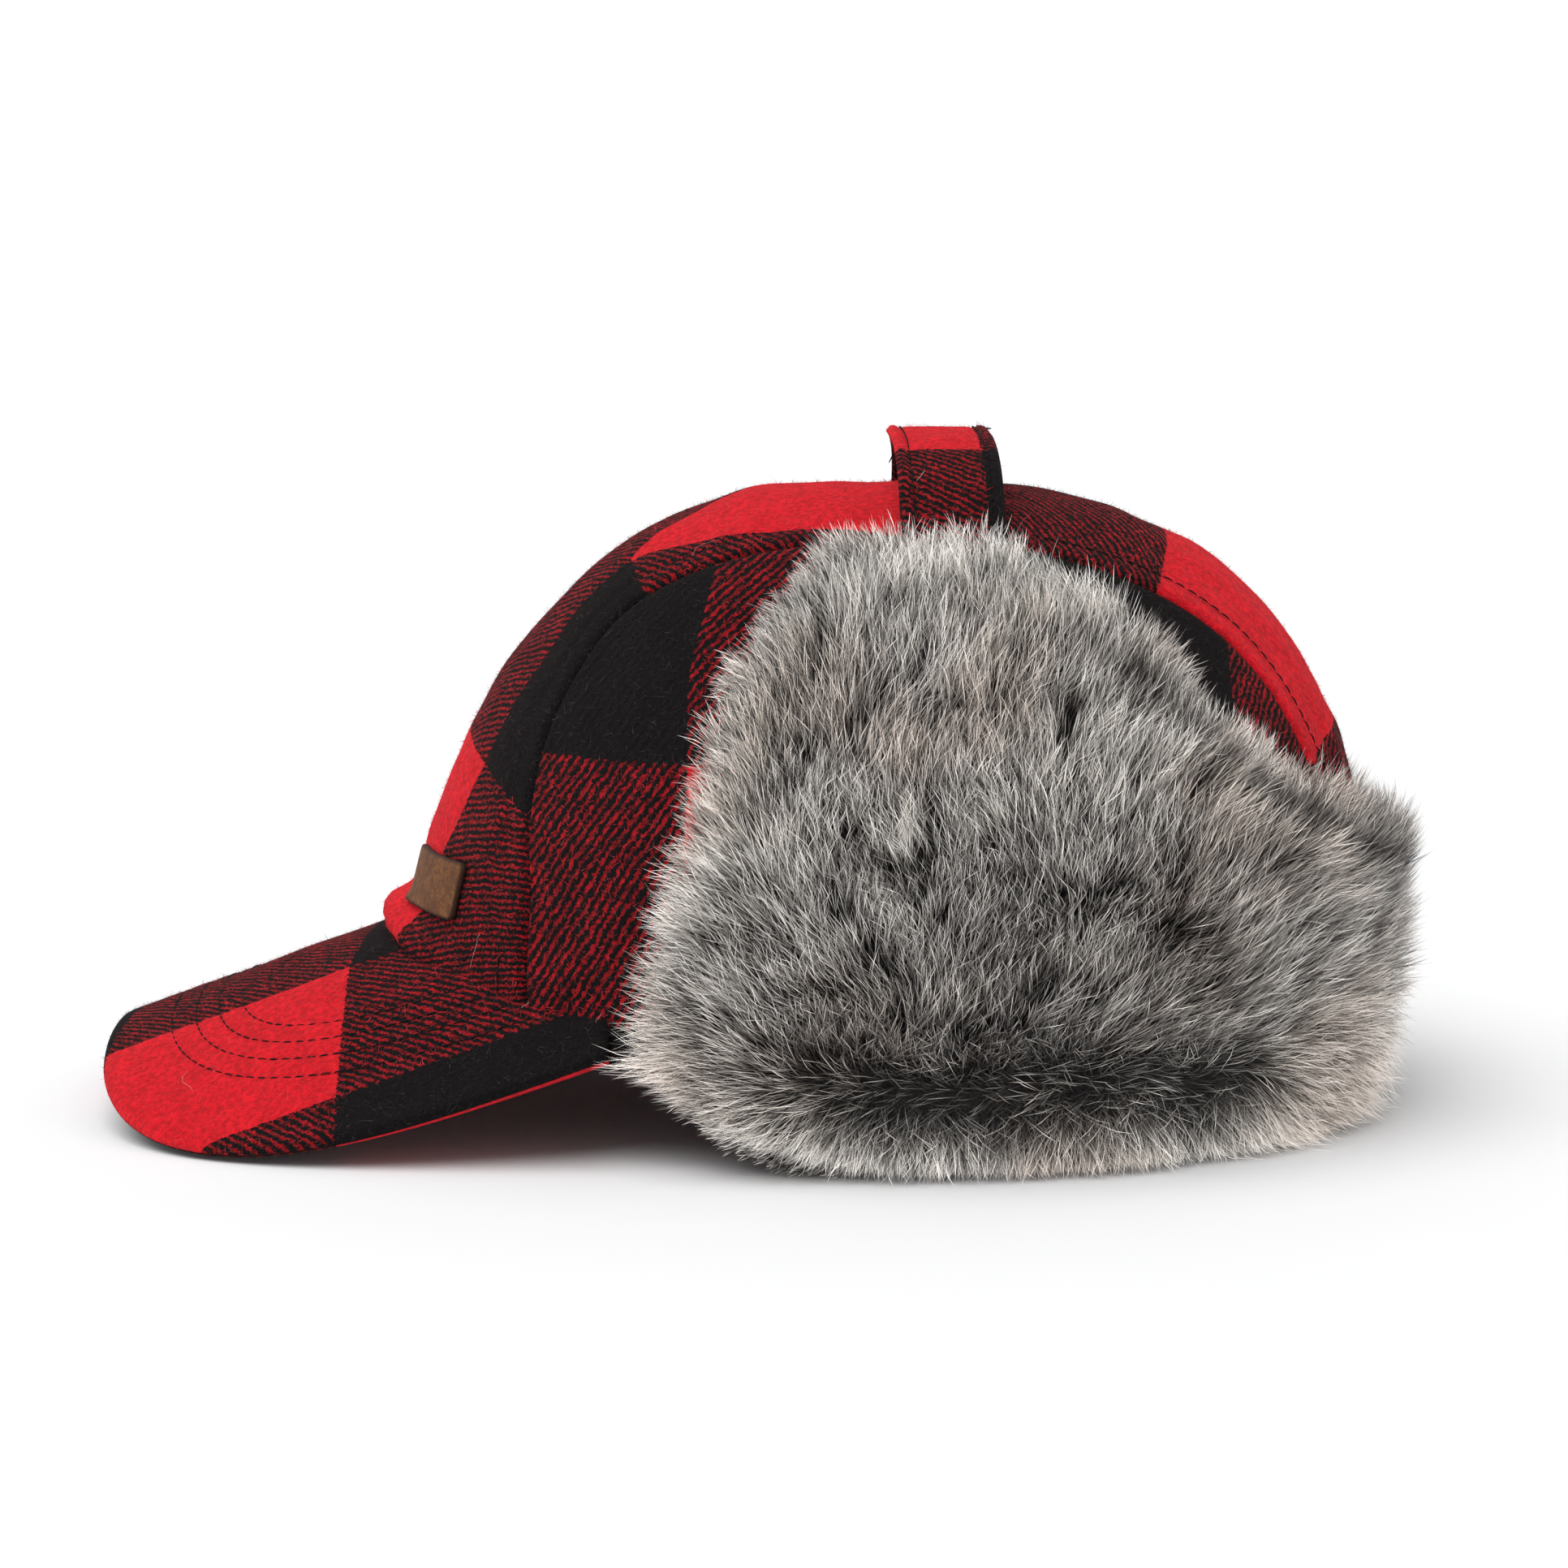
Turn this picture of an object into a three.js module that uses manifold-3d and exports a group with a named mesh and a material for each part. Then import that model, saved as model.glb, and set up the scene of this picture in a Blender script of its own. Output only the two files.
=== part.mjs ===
// An earflap hat in millimetres. The peak points towards -Y, the wearer's left is +X, and it rests on Z = 0.
import * as THREE from 'three';
import { mergeVertices } from 'three/addons/utils/BufferGeometryUtils.js';
import Module from 'manifold-3d';

const wasm = await Module();
wasm.setup();

const GAP = 0.3;
const DEGREE = Math.PI / 180;

// Crown: the outside of the dome, read at each height. Depth is measured down from the top.
const CROWN_TOP = 132;
const CROWN_SQUARENESS = 2.15;
const CROWN_WALL = 2.4;
const CROWN_SECTIONS = [
  { height: 132, front: 24, back: 24, half: 0 },
  { height: 131.2, front: 5, back: 51, half: 16.5 },
  { height: 129, front: -6, back: 65, half: 28 },
  { height: 125, front: -16.5, back: 79, half: 39.5 },
  { height: 118, front: -29.5, back: 94.5, half: 51.5 },
  { height: 110, front: -39.5, back: 105, half: 60 },
  { height: 100, front: -48, back: 113.3, half: 67.5 },
  { height: 85, front: -58.5, back: 121.5, half: 75.5 },
  { height: 70, front: -66, back: 127, half: 80 },
  { height: 55, front: -71.5, back: 129.5, half: 82.5 },
  { height: 35, front: -75.5, back: 129, half: 83 },
  { height: 9, front: -77.5, back: 126, half: 81 },
  { height: -30, front: -77.5, back: 123, half: 79 },
].map((row) => ({ ...row, depth: Math.sqrt(CROWN_TOP - row.height) }));
const ROOM_COLUMNS = 60;
const ROOM_ROWS = 20;
const SIDE_RIM_HEIGHT = 9;
const FRONT_RIM_HEIGHT = 29;

// The cloth of the front bulges out over the root of the peak.
const BULGE = { reach: 6.5, height: 40, tall: 4, half: 32 };

// Seams between the centre panel and the side panels: half width of the centre panel at each turn in
// degrees about a cross axis, counted from the front over the top to the back.
const SEAM_AXIS = { y: 24, z: 9 };
const SEAMS = [
  { turn: 8, half: 60 },
  { turn: 31, half: 56.5 },
  { turn: 40, half: 50 },
  { turn: 50, half: 42.5 },
  { turn: 62, half: 36.5 },
  { turn: 72, half: 38.5 },
  { turn: 83, half: 41.5 },
  { turn: 113, half: 44.5 },
  { turn: 137, half: 42 },
  { turn: 184, half: 46 },
];
const PANEL_ACROSS = 10;
const FRONT_TURN = 30;
const FRONT_STEPS = [0, 0.2, 0.3, 0.37, 0.44, 0.52, 0.62, 0.8, 1];
const OVER_STEPS = 17;
const PANEL_ROWS = FRONT_STEPS.length - 1 + OVER_STEPS;
const SIDE_DOWN = 9;

// Searches for a point on the dome: the furthest it can be, and how often a search halves or steps.
const SEARCH = {
  farthest: 170, halvings: 34, rimSteps: 12, turnPerMillimetre: 0.5, frontTurn: 12, backTurn: 181,
};

// Peak: an arched plate that slopes down to the front.
const PEAK = {
  centreY: -30, reach: 110.2, half: 77.5, squareness: 3.3,
  ridgeHeight: 36.5, ridgeY: -81, slope: 0.357, arch: 0.005,
  thickness: 3.6, roundFrom: 0.93, edge: 0.25, rootDepth: 6, endTurn: 88,
};
const PEAK_COLUMNS = 24;
const PEAK_ROWS = [0, 0.25, 0.5, 0.75, 0.93, 0.98, 1];

// Earflap band: upper edge of its backing at each angle round the crown, from the front edge of a flap
// to the centre of the back, in degrees.
const BAND_FRONT = -23;
const BAND_BACK = 90;
const BAND_TOP = [
  { angle: -23, height: 86 },
  { angle: -20.5, height: 98 },
  { angle: -15.5, height: 108 },
  { angle: -6, height: 112.5 },
  { angle: 12, height: 112 },
  { angle: 24, height: 107 },
  { angle: 32, height: 97 },
  { angle: 38, height: 85 },
  { angle: 48, height: 74 },
  { angle: 64, height: 61 },
  { angle: 90, height: 54 },
];
const BAND_COLUMNS = 36;
const BAND_LOW_HEIGHTS = [0, 4, 12, 20, 28];
const BAND_HIGH_ROWS = 5;
const BAND_CORNER = { angle: -4, rise: 17 };
const BAND = {
  gap: 0.7, tipGap: 3.4, tipFrom: 84, tipFull: 97,
  pile: 6.5, roll: 1.5, rollHeight: 10, foot: 3, footTall: 5, crease: 2.4, creaseHeight: 21, creaseTall: 5,
  roundEdge: 8, edge: 1.6,
};

// Locks of fur, laid like shingles on the band.
const LOCK = {
  length: 21, half: 7.6, thick: 3, lift: 5.4, sunk: 2.2, middle: 0.5, middleLift: 4.4,
  spacing: 20, rowStep: 13.5, firstRow: 28, jitter: 0.3, swing: 40, evenShift: 0.45, oddShift: 0.75,
};
const FRINGE = { rootHeight: 18, length: 24, lift: 3.6, spacing: 13.5, swing: 20, follow: 0.4 };
const EDGE_LOCKS = { below: 8, spacing: 15, length: 17, lift: 4 };
const COMB = [
  { angle: -23, lean: -58 },
  { angle: -16, lean: -28 },
  { angle: 0, lean: -4 },
  { angle: 30, lean: 22 },
  { angle: 50, lean: 34 },
  { angle: 72, lean: 20 },
  { angle: 90, lean: 0 },
];

// Top strap: joins the tips of the two flaps and stands clear of the crown.
const STRAP = { y: 38.2, width: 21.5, thickness: 2, seat: 0.45, edge: 0.4, steps: 26 };
const STRAP_SEATED_HEIGHTS = [101, 107, 113, 118];
const STRAP_ARCH = [
  { x: 44.5, z: 127.5 },
  { x: 36, z: 135.2 },
  { x: 23, z: 140.5 },
  { x: 8, z: 142.4 },
];

// Leather label on the wearer's left of the front.
const LABEL = { left: 12, right: 40, bottom: 44, top: 56, thickness: 1.2, corner: 1.6, sunk: 1 };
const LABEL_COLUMNS = 6;
const LABEL_ROWS = [0, 0.14, 0.86, 1];

const LOOKS = {
  wool: { color: '#8a1620', roughness: 0.95, metalness: 0 },
  fur: { color: '#7f7b77', roughness: 1, metalness: 0 },
  leather: { color: '#9b6a45', roughness: 0.6, metalness: 0 },
};

// Reads a column of a table between its rows, along a smooth curve that never overshoots them.
function readTable(rows, keyName, key, column) {
  const last = rows.length - 1;
  const at = THREE.MathUtils.clamp(key, rows[0][keyName], rows[last][keyName]);
  let low = 0;
  while (low < last - 1 && at > rows[low + 1][keyName]) {
    low += 1;
  }
  const width = (i) => rows[i + 1][keyName] - rows[i][keyName];
  const slope = (i) => (rows[i + 1][column] - rows[i][column]) / width(i);
  const tangent = (i) => {
    const before = slope(Math.max(i - 1, 0));
    const after = slope(Math.min(i, last - 1));
    return before * after > 0 ? (2 * before * after) / (before + after) : 0;
  };
  const step = width(low);
  const s = (at - rows[low][keyName]) / step;
  const rise = s * s * (3 - 2 * s);
  return (1 - rise) * rows[low][column] + rise * rows[low + 1][column]
    + s * (1 - s) * step * ((1 - s) * tangent(low) - s * tangent(low + 1));
}

function signedPower(value, power) {
  return Math.sign(value) * Math.abs(value) ** power;
}

// A repeatable number from 0 to 1 for each pair of whole numbers.
function scatter(a, b) {
  const value = Math.sin(a * 127.1 + b * 311.7) * 43758.5453;
  return value - Math.floor(value);
}

function crownSection(depth) {
  const front = readTable(CROWN_SECTIONS, 'depth', depth, 'front');
  const back = readTable(CROWN_SECTIONS, 'depth', depth, 'back');
  const half = readTable(CROWN_SECTIONS, 'depth', depth, 'half');
  return { middle: (front + back) / 2, length: (back - front) / 2, half };
}

// A point of the plain dome. The angle is 0 at the wearer's left, 90 degrees at the back.
function domePoint(angle, depth) {
  const { middle, length, half } = crownSection(depth);
  const power = 2 / CROWN_SQUARENESS;
  return new THREE.Vector3(
    half * signedPower(Math.cos(angle), power),
    middle + length * signedPower(Math.sin(angle), power),
    CROWN_TOP - depth * depth,
  );
}

function domeNormal(angle, depth) {
  const small = 0.02;
  if (depth < small) {
    return new THREE.Vector3(0, 0, 1);
  }
  const round = domePoint(angle + small, depth).sub(domePoint(angle - small, depth));
  const down = domePoint(angle, depth + small).sub(domePoint(angle, depth - small));
  return down.cross(round).normalize();
}

function domeAt(angle, height, offset) {
  const depth = Math.sqrt(Math.max(CROWN_TOP - height, 0));
  return domePoint(angle, depth).addScaledVector(domeNormal(angle, depth), offset);
}

// The angle and depth of a point that lies on the dome.
function placeOnDome(point) {
  const depth = Math.sqrt(Math.max(CROWN_TOP - point.z, 0));
  const { middle, length, half } = crownSection(depth);
  const power = CROWN_SQUARENESS / 2;
  const along = signedPower((point.y - middle) / length, power);
  const across = signedPower(point.x / half, power);
  return { angle: Math.atan2(along, across), depth };
}

// Less than 1 inside the dome, more than 1 outside it.
function domeMeasure(x, y, z) {
  if (z >= CROWN_TOP) {
    return 2;
  }
  const { middle, length, half } = crownSection(Math.sqrt(CROWN_TOP - z));
  return Math.abs(x / half) ** CROWN_SQUARENESS + Math.abs((y - middle) / length) ** CROWN_SQUARENESS;
}

// Walks out along a ray until it leaves the dome: the ray gives a point for each radius.
function leaveDome(ray) {
  let near = 0;
  let far = SEARCH.farthest;
  for (let round = 0; round < SEARCH.halvings; round += 1) {
    const radius = (near + far) / 2;
    const point = ray(radius);
    if (domeMeasure(point.x, point.y, point.z) < 1) {
      near = radius;
    } else {
      far = radius;
    }
  }
  return near;
}

function bulgeAt(point) {
  if (point.y > 0) {
    return 0;
  }
  const up = (point.z + PEAK.arch * point.x * point.x - BULGE.height) / BULGE.tall;
  const side = point.x / BULGE.half;
  return BULGE.reach * Math.exp(-up * up - side ** 4);
}

// A closed solid between two sheets of points, with i across and j up.
function solidBetween({ across, up, outer, inner, closed = false }) {
  const positions = [];
  const index = [];
  const columns = closed ? across : across + 1;
  const at = (layer, i, j) => (layer * (up + 1) + j) * columns + (i % columns);
  for (const sheet of [outer, inner]) {
    for (let j = 0; j <= up; j += 1) {
      for (let i = 0; i < columns; i += 1) {
        positions.push(...sheet(i, j).toArray());
      }
    }
  }
  const quad = (a, b, c, d) => index.push(a, b, c, a, c, d);
  for (let i = 0; i < across; i += 1) {
    for (let j = 0; j < up; j += 1) {
      quad(at(0, i, j), at(0, i + 1, j), at(0, i + 1, j + 1), at(0, i, j + 1));
      quad(at(1, i, j), at(1, i, j + 1), at(1, i + 1, j + 1), at(1, i + 1, j));
    }
    quad(at(0, i, 0), at(1, i, 0), at(1, i + 1, 0), at(0, i + 1, 0));
    quad(at(0, i, up), at(0, i + 1, up), at(1, i + 1, up), at(1, i, up));
  }
  if (!closed) {
    for (let j = 0; j < up; j += 1) {
      quad(at(0, 0, j), at(0, 0, j + 1), at(1, 0, j + 1), at(1, 0, j));
      quad(at(0, across, j), at(1, across, j), at(1, across, j + 1), at(0, across, j + 1));
    }
  }
  return solidFrom(positions, index);
}

// Makes a solid of loose triangles: joins equal points, drops flat triangles and turns it right side out.
function solidFrom(positions, index) {
  const loose = new THREE.BufferGeometry();
  loose.setAttribute('position', new THREE.Float32BufferAttribute(positions, 3));
  loose.setIndex(index);
  const joined = mergeVertices(loose, 1e-4);
  const corners = joined.getAttribute('position');
  const corner = (i) => new THREE.Vector3().fromBufferAttribute(corners, i);
  const kept = [];
  let volume = 0;
  for (let i = 0; i < joined.index.count; i += 3) {
    const [a, b, c] = [0, 1, 2].map((k) => joined.index.getX(i + k));
    if (a !== b && b !== c && c !== a) {
      kept.push(a, b, c);
      volume += corner(a).dot(corner(b).cross(corner(c)));
    }
  }
  if (volume < 0) {
    kept.reverse();
  }
  const mesh = new wasm.Mesh({
    numProp: 3,
    vertProperties: Float32Array.from(corners.array),
    triVerts: Uint32Array.from(kept),
  });
  return new wasm.Manifold(mesh);
}

function boxSolid(min, max) {
  const size = new THREE.Vector3().subVectors(max, min);
  const box = new THREE.BoxGeometry(size.x, size.y, size.z);
  box.translate((min.x + max.x) / 2, (min.y + max.y) / 2, (min.z + max.z) / 2);
  return solidFrom([...box.getAttribute('position').array], [...box.index.array]);
}

// Height of the rim of the crown: low at the sides and back, raised over the root of the peak.
function rimHeight(angle) {
  const forward = THREE.MathUtils.smoothstep(-Math.sin(angle), 0.15, 0.85);
  return SIDE_RIM_HEIGHT + (FRONT_RIM_HEIGHT - SIDE_RIM_HEIGHT) * forward;
}

// A point of the dome in the plane at this turn about the seam axis, this far to the side.
function acrossPoint(turn, x) {
  const ray = (radius) => new THREE.Vector3(
    x,
    SEAM_AXIS.y - radius * Math.cos(turn * DEGREE),
    SEAM_AXIS.z + radius * Math.sin(turn * DEGREE),
  );
  return ray(leaveDome(ray));
}

// The turn at which the crown reaches its rim, this far to the side, at the front (-1) or the back (1).
function rimTurn(x, end) {
  let turn = end < 0 ? SEARCH.frontTurn : SEARCH.backTurn;
  for (let round = 0; round < SEARCH.rimSteps; round += 1) {
    const point = acrossPoint(turn, x);
    const rim = rimHeight(placeOnDome(point).angle);
    turn += end * (point.z - rim) * SEARCH.turnPerMillimetre;
  }
  return turn;
}

function crownWall(point, offset) {
  const { angle, depth } = placeOnDome(point);
  return point.clone().addScaledVector(domeNormal(angle, depth), offset);
}

function seamHalf(turn) {
  return readTable(SEAMS, 'turn', turn, 'half');
}

// Turn of row j of the centre panel, from the front rim over the top to the back rim. The side runs from
// -1 at one seam to 1 at the other, and the side panels use the same rows at their seam.
function rowTurn(j, side) {
  const frontRows = FRONT_STEPS.length - 1;
  if (j <= frontRows) {
    return THREE.MathUtils.lerp(rimTurn(side * seamHalf(FRONT_TURN / 2), -1), FRONT_TURN, FRONT_STEPS[j]);
  }
  const rim = rimTurn(side * seamHalf(SEARCH.backTurn), 1);
  return THREE.MathUtils.lerp(FRONT_TURN, rim, (j - frontRows) / OVER_STEPS);
}

function panelSolid(across, up, place) {
  return solidBetween({
    across,
    up,
    outer: (i, j) => crownWall(place(i, j), bulgeAt(place(i, j))),
    inner: (i, j) => crownWall(place(i, j), -CROWN_WALL),
  });
}

function centrePanel() {
  return panelSolid(PANEL_ACROSS, PANEL_ROWS, (i, j) => {
    const side = (2 * i) / PANEL_ACROSS - 1;
    const turn = rowTurn(j, side);
    return acrossPoint(turn, side * (seamHalf(turn) - GAP / 2));
  });
}

// The side panel on the wearer's left, from the seam down to the rim.
function sidePanel() {
  const seamPlace = (i) => placeOnDome(acrossPoint(rowTurn(i, 1), seamHalf(rowTurn(i, 1)) + GAP / 2));
  const firstAngle = seamPlace(0).angle;
  const lastAngle = seamPlace(PANEL_ROWS).angle;
  return panelSolid(PANEL_ROWS, SIDE_DOWN, (i, j) => {
    const seam = seamPlace(i);
    const spread = i / PANEL_ROWS;
    const rimAngle = THREE.MathUtils.lerp(firstAngle, lastAngle, spread);
    const rimDepth = Math.sqrt(CROWN_TOP - rimHeight(rimAngle));
    const down = j / SIDE_DOWN;
    const angle = THREE.MathUtils.lerp(seam.angle, rimAngle, down);
    return domePoint(angle, THREE.MathUtils.lerp(seam.depth, rimDepth, down));
  });
}

// The plain dome as a filled body, grown by a gap, for trimming what sits against it.
function filledDome(grow) {
  const lowest = -20;
  const centre = new THREE.Vector3(0, SEAM_AXIS.y, lowest);
  const angleOf = (i) => (i / ROOM_COLUMNS) * 360 * DEGREE;
  const depthOf = (j) => Math.sqrt(CROWN_TOP - lowest) * (1 - j / ROOM_ROWS);
  return solidBetween({
    across: ROOM_COLUMNS,
    up: ROOM_ROWS,
    closed: true,
    outer: (i, j) => domeAt(angleOf(i), CROWN_TOP - depthOf(j) ** 2, grow),
    inner: () => centre,
  });
}

function peakHeight(x, y) {
  return PEAK.ridgeHeight + PEAK.slope * (y - PEAK.ridgeY) - PEAK.arch * x * x;
}

function peakNormal(x) {
  return new THREE.Vector3(2 * PEAK.arch * x, -PEAK.slope, 1).normalize();
}

function peakOutlineRadius(turn) {
  const side = Math.abs(Math.sin(turn)) / PEAK.half;
  const forward = Math.abs(Math.cos(turn)) / PEAK.reach;
  return (side ** PEAK.squareness + forward ** PEAK.squareness) ** (-1 / PEAK.squareness);
}

// How far the crown reaches from the centre of the peak's plan, at the height of the peak.
function peakRootRadius(turn) {
  return leaveDome((radius) => {
    const x = radius * Math.sin(turn);
    const y = PEAK.centreY - radius * Math.cos(turn);
    return new THREE.Vector3(x, y, THREE.MathUtils.clamp(peakHeight(x, y), 0, CROWN_TOP - 1));
  });
}

// The arched plate of the peak. Growing it makes the room that the crown and fur leave for it.
function peakPlate(grow) {
  const turnOf = (i) => (2 * i / PEAK_COLUMNS - 1) * PEAK.endTurn * DEGREE;
  const roots = [];
  for (let i = 0; i <= PEAK_COLUMNS; i += 1) {
    roots.push(peakRootRadius(turnOf(i)) - PEAK.rootDepth);
  }
  const sheet = (i, j, sign) => {
    const turn = turnOf(i);
    const v = PEAK_ROWS[j];
    const rim = Math.max(peakOutlineRadius(turn), roots[i] + PEAK.rootDepth + 1);
    const radius = THREE.MathUtils.lerp(roots[i], rim + grow, v);
    const x = radius * Math.sin(turn);
    const y = PEAK.centreY - radius * Math.cos(turn);
    const bend = Math.max((v - PEAK.roundFrom) / (1 - PEAK.roundFrom), 0);
    const round = Math.max(Math.sqrt(1 - bend * bend), PEAK.edge);
    const along = -PEAK.thickness / 2 + sign * ((PEAK.thickness / 2) * round + grow);
    return new THREE.Vector3(x, y, peakHeight(x, y)).addScaledVector(peakNormal(x), along);
  };
  return solidBetween({
    across: PEAK_COLUMNS,
    up: PEAK_ROWS.length - 1,
    outer: (i, j) => sheet(i, j, 1),
    inner: (i, j) => sheet(i, j, -1),
  });
}

// Angle measured the same way on both sides of the hat, from the front edge of a flap to the back.
function sameSideAngle(angle) {
  return angle > BAND_BACK ? 2 * BAND_BACK - angle : angle;
}

function bandTop(angle) {
  return readTable(BAND_TOP, 'angle', sameSideAngle(angle), 'height');
}

// The foot of the band is flat on the ground and rises at the front corner of each flap.
function bandFoot(angle) {
  const beyond = Math.max(BAND_CORNER.angle - sameSideAngle(angle), 0) / (BAND_CORNER.angle - BAND_FRONT);
  return BAND_CORNER.rise * beyond * beyond;
}

function bandGap(height) {
  const tip = THREE.MathUtils.smoothstep(height, BAND.tipFrom, BAND.tipFull);
  return THREE.MathUtils.lerp(BAND.gap, BAND.tipGap, tip);
}

// How far the pile's body stands out from the crown: rolled at the foot, creased above it, thin at the edges.
function bandReach(angle, height) {
  const side = sameSideAngle(angle);
  const { half } = crownSection(Math.sqrt(CROWN_TOP - height));
  const fromFront = (side - BAND_FRONT) * DEGREE * half;
  const fromTop = bandTop(angle) - height;
  const inward = THREE.MathUtils.clamp(Math.min(fromFront, fromTop) / BAND.roundEdge, 0, 1);
  const round = Math.sqrt(1 - (1 - inward) ** 2);
  const roll = BAND.roll * Math.exp(-(((height - BAND.rollHeight) / BAND.rollHeight) ** 2));
  const crease = BAND.crease * Math.exp(-(((height - BAND.creaseHeight) / BAND.creaseTall) ** 2));
  const foot = BAND.foot * Math.exp(-((height / BAND.footTall) ** 2));
  return bandGap(height) + BAND.edge + (BAND.pile + roll - crease - foot) * round;
}

function bandBacking() {
  const lowRows = BAND_LOW_HEIGHTS.length - 1;
  const angleOf = (i) => BAND_FRONT + (2 * (BAND_BACK - BAND_FRONT) * i) / BAND_COLUMNS;
  const heightOf = (i, j) => {
    if (j <= lowRows) {
      const lowest = bandFoot(angleOf(i));
      return lowest + BAND_LOW_HEIGHTS[j] * (1 - lowest / BAND_LOW_HEIGHTS[lowRows]);
    }
    const rise = (j - lowRows) / BAND_HIGH_ROWS;
    return THREE.MathUtils.lerp(BAND_LOW_HEIGHTS[lowRows], bandTop(angleOf(i)), rise);
  };
  const outside = (i, j) => {
    const height = heightOf(i, j);
    const point = domeAt(angleOf(i) * DEGREE, height, bandReach(angleOf(i), height));
    return j === 0 ? point.setZ(height) : point;
  };
  const inside = (i, j) => {
    const height = heightOf(i, j);
    const point = domeAt(angleOf(i) * DEGREE, height, bandGap(height));
    return j === 0 ? point.setZ(height) : point;
  };
  return solidBetween({
    across: BAND_COLUMNS,
    up: lowRows + BAND_HIGH_ROWS,
    outer: outside,
    inner: inside,
  });
}

// One lock: a flat tapering tuft, rooted in the band, that lies along its comb direction and lifts off.
function lock({ angle, height, lean, length, lift, half }) {
  const root = domeAt(angle * DEGREE, height, bandReach(angle, height) - LOCK.sunk);
  const depth = Math.sqrt(CROWN_TOP - height);
  const out = domeNormal(angle * DEGREE, depth);
  const up = domePoint(angle * DEGREE, depth - 0.05).sub(domePoint(angle * DEGREE, depth)).normalize();
  const round = new THREE.Vector3().crossVectors(up, out);
  const comb = up.multiplyScalar(Math.cos(lean * DEGREE)).addScaledVector(round, Math.sin(lean * DEGREE));
  const side = new THREE.Vector3().crossVectors(comb, out).normalize();
  const ring = (along, lifted, widen) => {
    const centre = root.clone().addScaledVector(comb, along).addScaledVector(out, lifted);
    return [
      centre.clone().addScaledVector(side, half * widen),
      centre.clone().addScaledVector(out, LOCK.thick * widen),
      centre.clone().addScaledVector(side, -half * widen),
    ];
  };
  const rootRing = ring(0, 0, 1);
  const middleRing = ring(length * LOCK.middle, Math.min(LOCK.middleLift, lift), 0.8);
  const tip = root.clone().addScaledVector(comb, length).addScaledVector(out, lift);
  const positions = [...rootRing, ...middleRing, tip].flatMap((point) => point.toArray());
  const index = [0, 2, 1];
  for (let k = 0; k < 3; k += 1) {
    const next = (k + 1) % 3;
    index.push(k, next, 3 + next, k, 3 + next, 3 + k, 3 + k, 3 + next, 6);
  }
  return solidFrom(positions, index);
}

// Locks of one half of the band, row by row, from the front edge of the flap to the centre of the back.
function locksOfOneSide() {
  const locks = [];
  const addRow = (row, rowHeight, spacing, shape) => {
    const { half, length } = crownSection(Math.sqrt(CROWN_TOP - rowHeight));
    const step = spacing / ((half + length) / 2) / DEGREE;
    const shift = row % 2 === 0 ? LOCK.evenShift : LOCK.oddShift;
    for (let angle = BAND_FRONT + step * shift; angle < BAND_BACK; angle += step) {
      const wobble = LOCK.jitter * (scatter(row, Math.round(angle)) - 0.5);
      const at = angle + wobble * step;
      const height = rowHeight + (row === 0 ? bandFoot(at) : 0);
      if (height < bandTop(at) - EDGE_LOCKS.below - LOCK.rowStep / 2) {
        locks.push(lock({ angle: at, height, half: LOCK.half, ...shape(at, wobble) }));
      }
    }
  };
  addRow(0, FRINGE.rootHeight, FRINGE.spacing, (angle, wobble) => ({
    lean: 180 - FRINGE.follow * readTable(COMB, 'angle', angle, 'lean') + FRINGE.swing * wobble,
    length: FRINGE.length,
    lift: FRINGE.lift,
  }));
  const rows = Math.floor((CROWN_TOP - LOCK.firstRow) / LOCK.rowStep);
  for (let row = 0; row <= rows; row += 1) {
    addRow(row + 1, LOCK.firstRow + row * LOCK.rowStep, LOCK.spacing, (angle, wobble) => ({
      lean: readTable(COMB, 'angle', angle, 'lean') + LOCK.swing * wobble,
      length: LOCK.length * (1 + wobble),
      lift: LOCK.lift * (1 + wobble),
    }));
  }
  let walked = EDGE_LOCKS.spacing / 2;
  for (let angle = BAND_FRONT + 1; angle < BAND_BACK; angle += 1) {
    const edgeAt = (degrees) => domeAt(degrees * DEGREE, bandTop(degrees), 0);
    walked += edgeAt(angle).distanceTo(edgeAt(angle - 1));
    if (walked >= EDGE_LOCKS.spacing) {
      walked -= EDGE_LOCKS.spacing;
      const wobble = LOCK.jitter * (scatter(angle, 7) - 0.5);
      locks.push(lock({
        angle,
        height: bandTop(angle) - EDGE_LOCKS.below,
        lean: readTable(COMB, 'angle', angle, 'lean') + LOCK.swing * wobble,
        length: EDGE_LOCKS.length * (1 + wobble),
        lift: EDGE_LOCKS.lift,
        half: LOCK.half,
      }));
    }
  }
  return locks;
}

// Trimming can leave loose clippings of a lock, so only the largest piece is kept.
function withoutClippings(solid) {
  const pieces = solid.decompose();
  return pieces.reduce((largest, piece) => (piece.volume() > largest.volume() ? piece : largest));
}

function earflapBand(peakRoom, strapRoom) {
  const oneSide = wasm.Manifold.union(locksOfOneSide()).subtract(filledDome(BAND.gap));
  const floor = boxSolid(new THREE.Vector3(-200, -200, -60), new THREE.Vector3(200, 200, 0));
  const rough = bandBacking()
    .add(oneSide)
    .add(oneSide.mirror([1, 0, 0]))
    .subtract(floor)
    .subtract(peakRoom)
    .subtract(strapRoom);
  return withoutClippings(rough);
}

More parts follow.
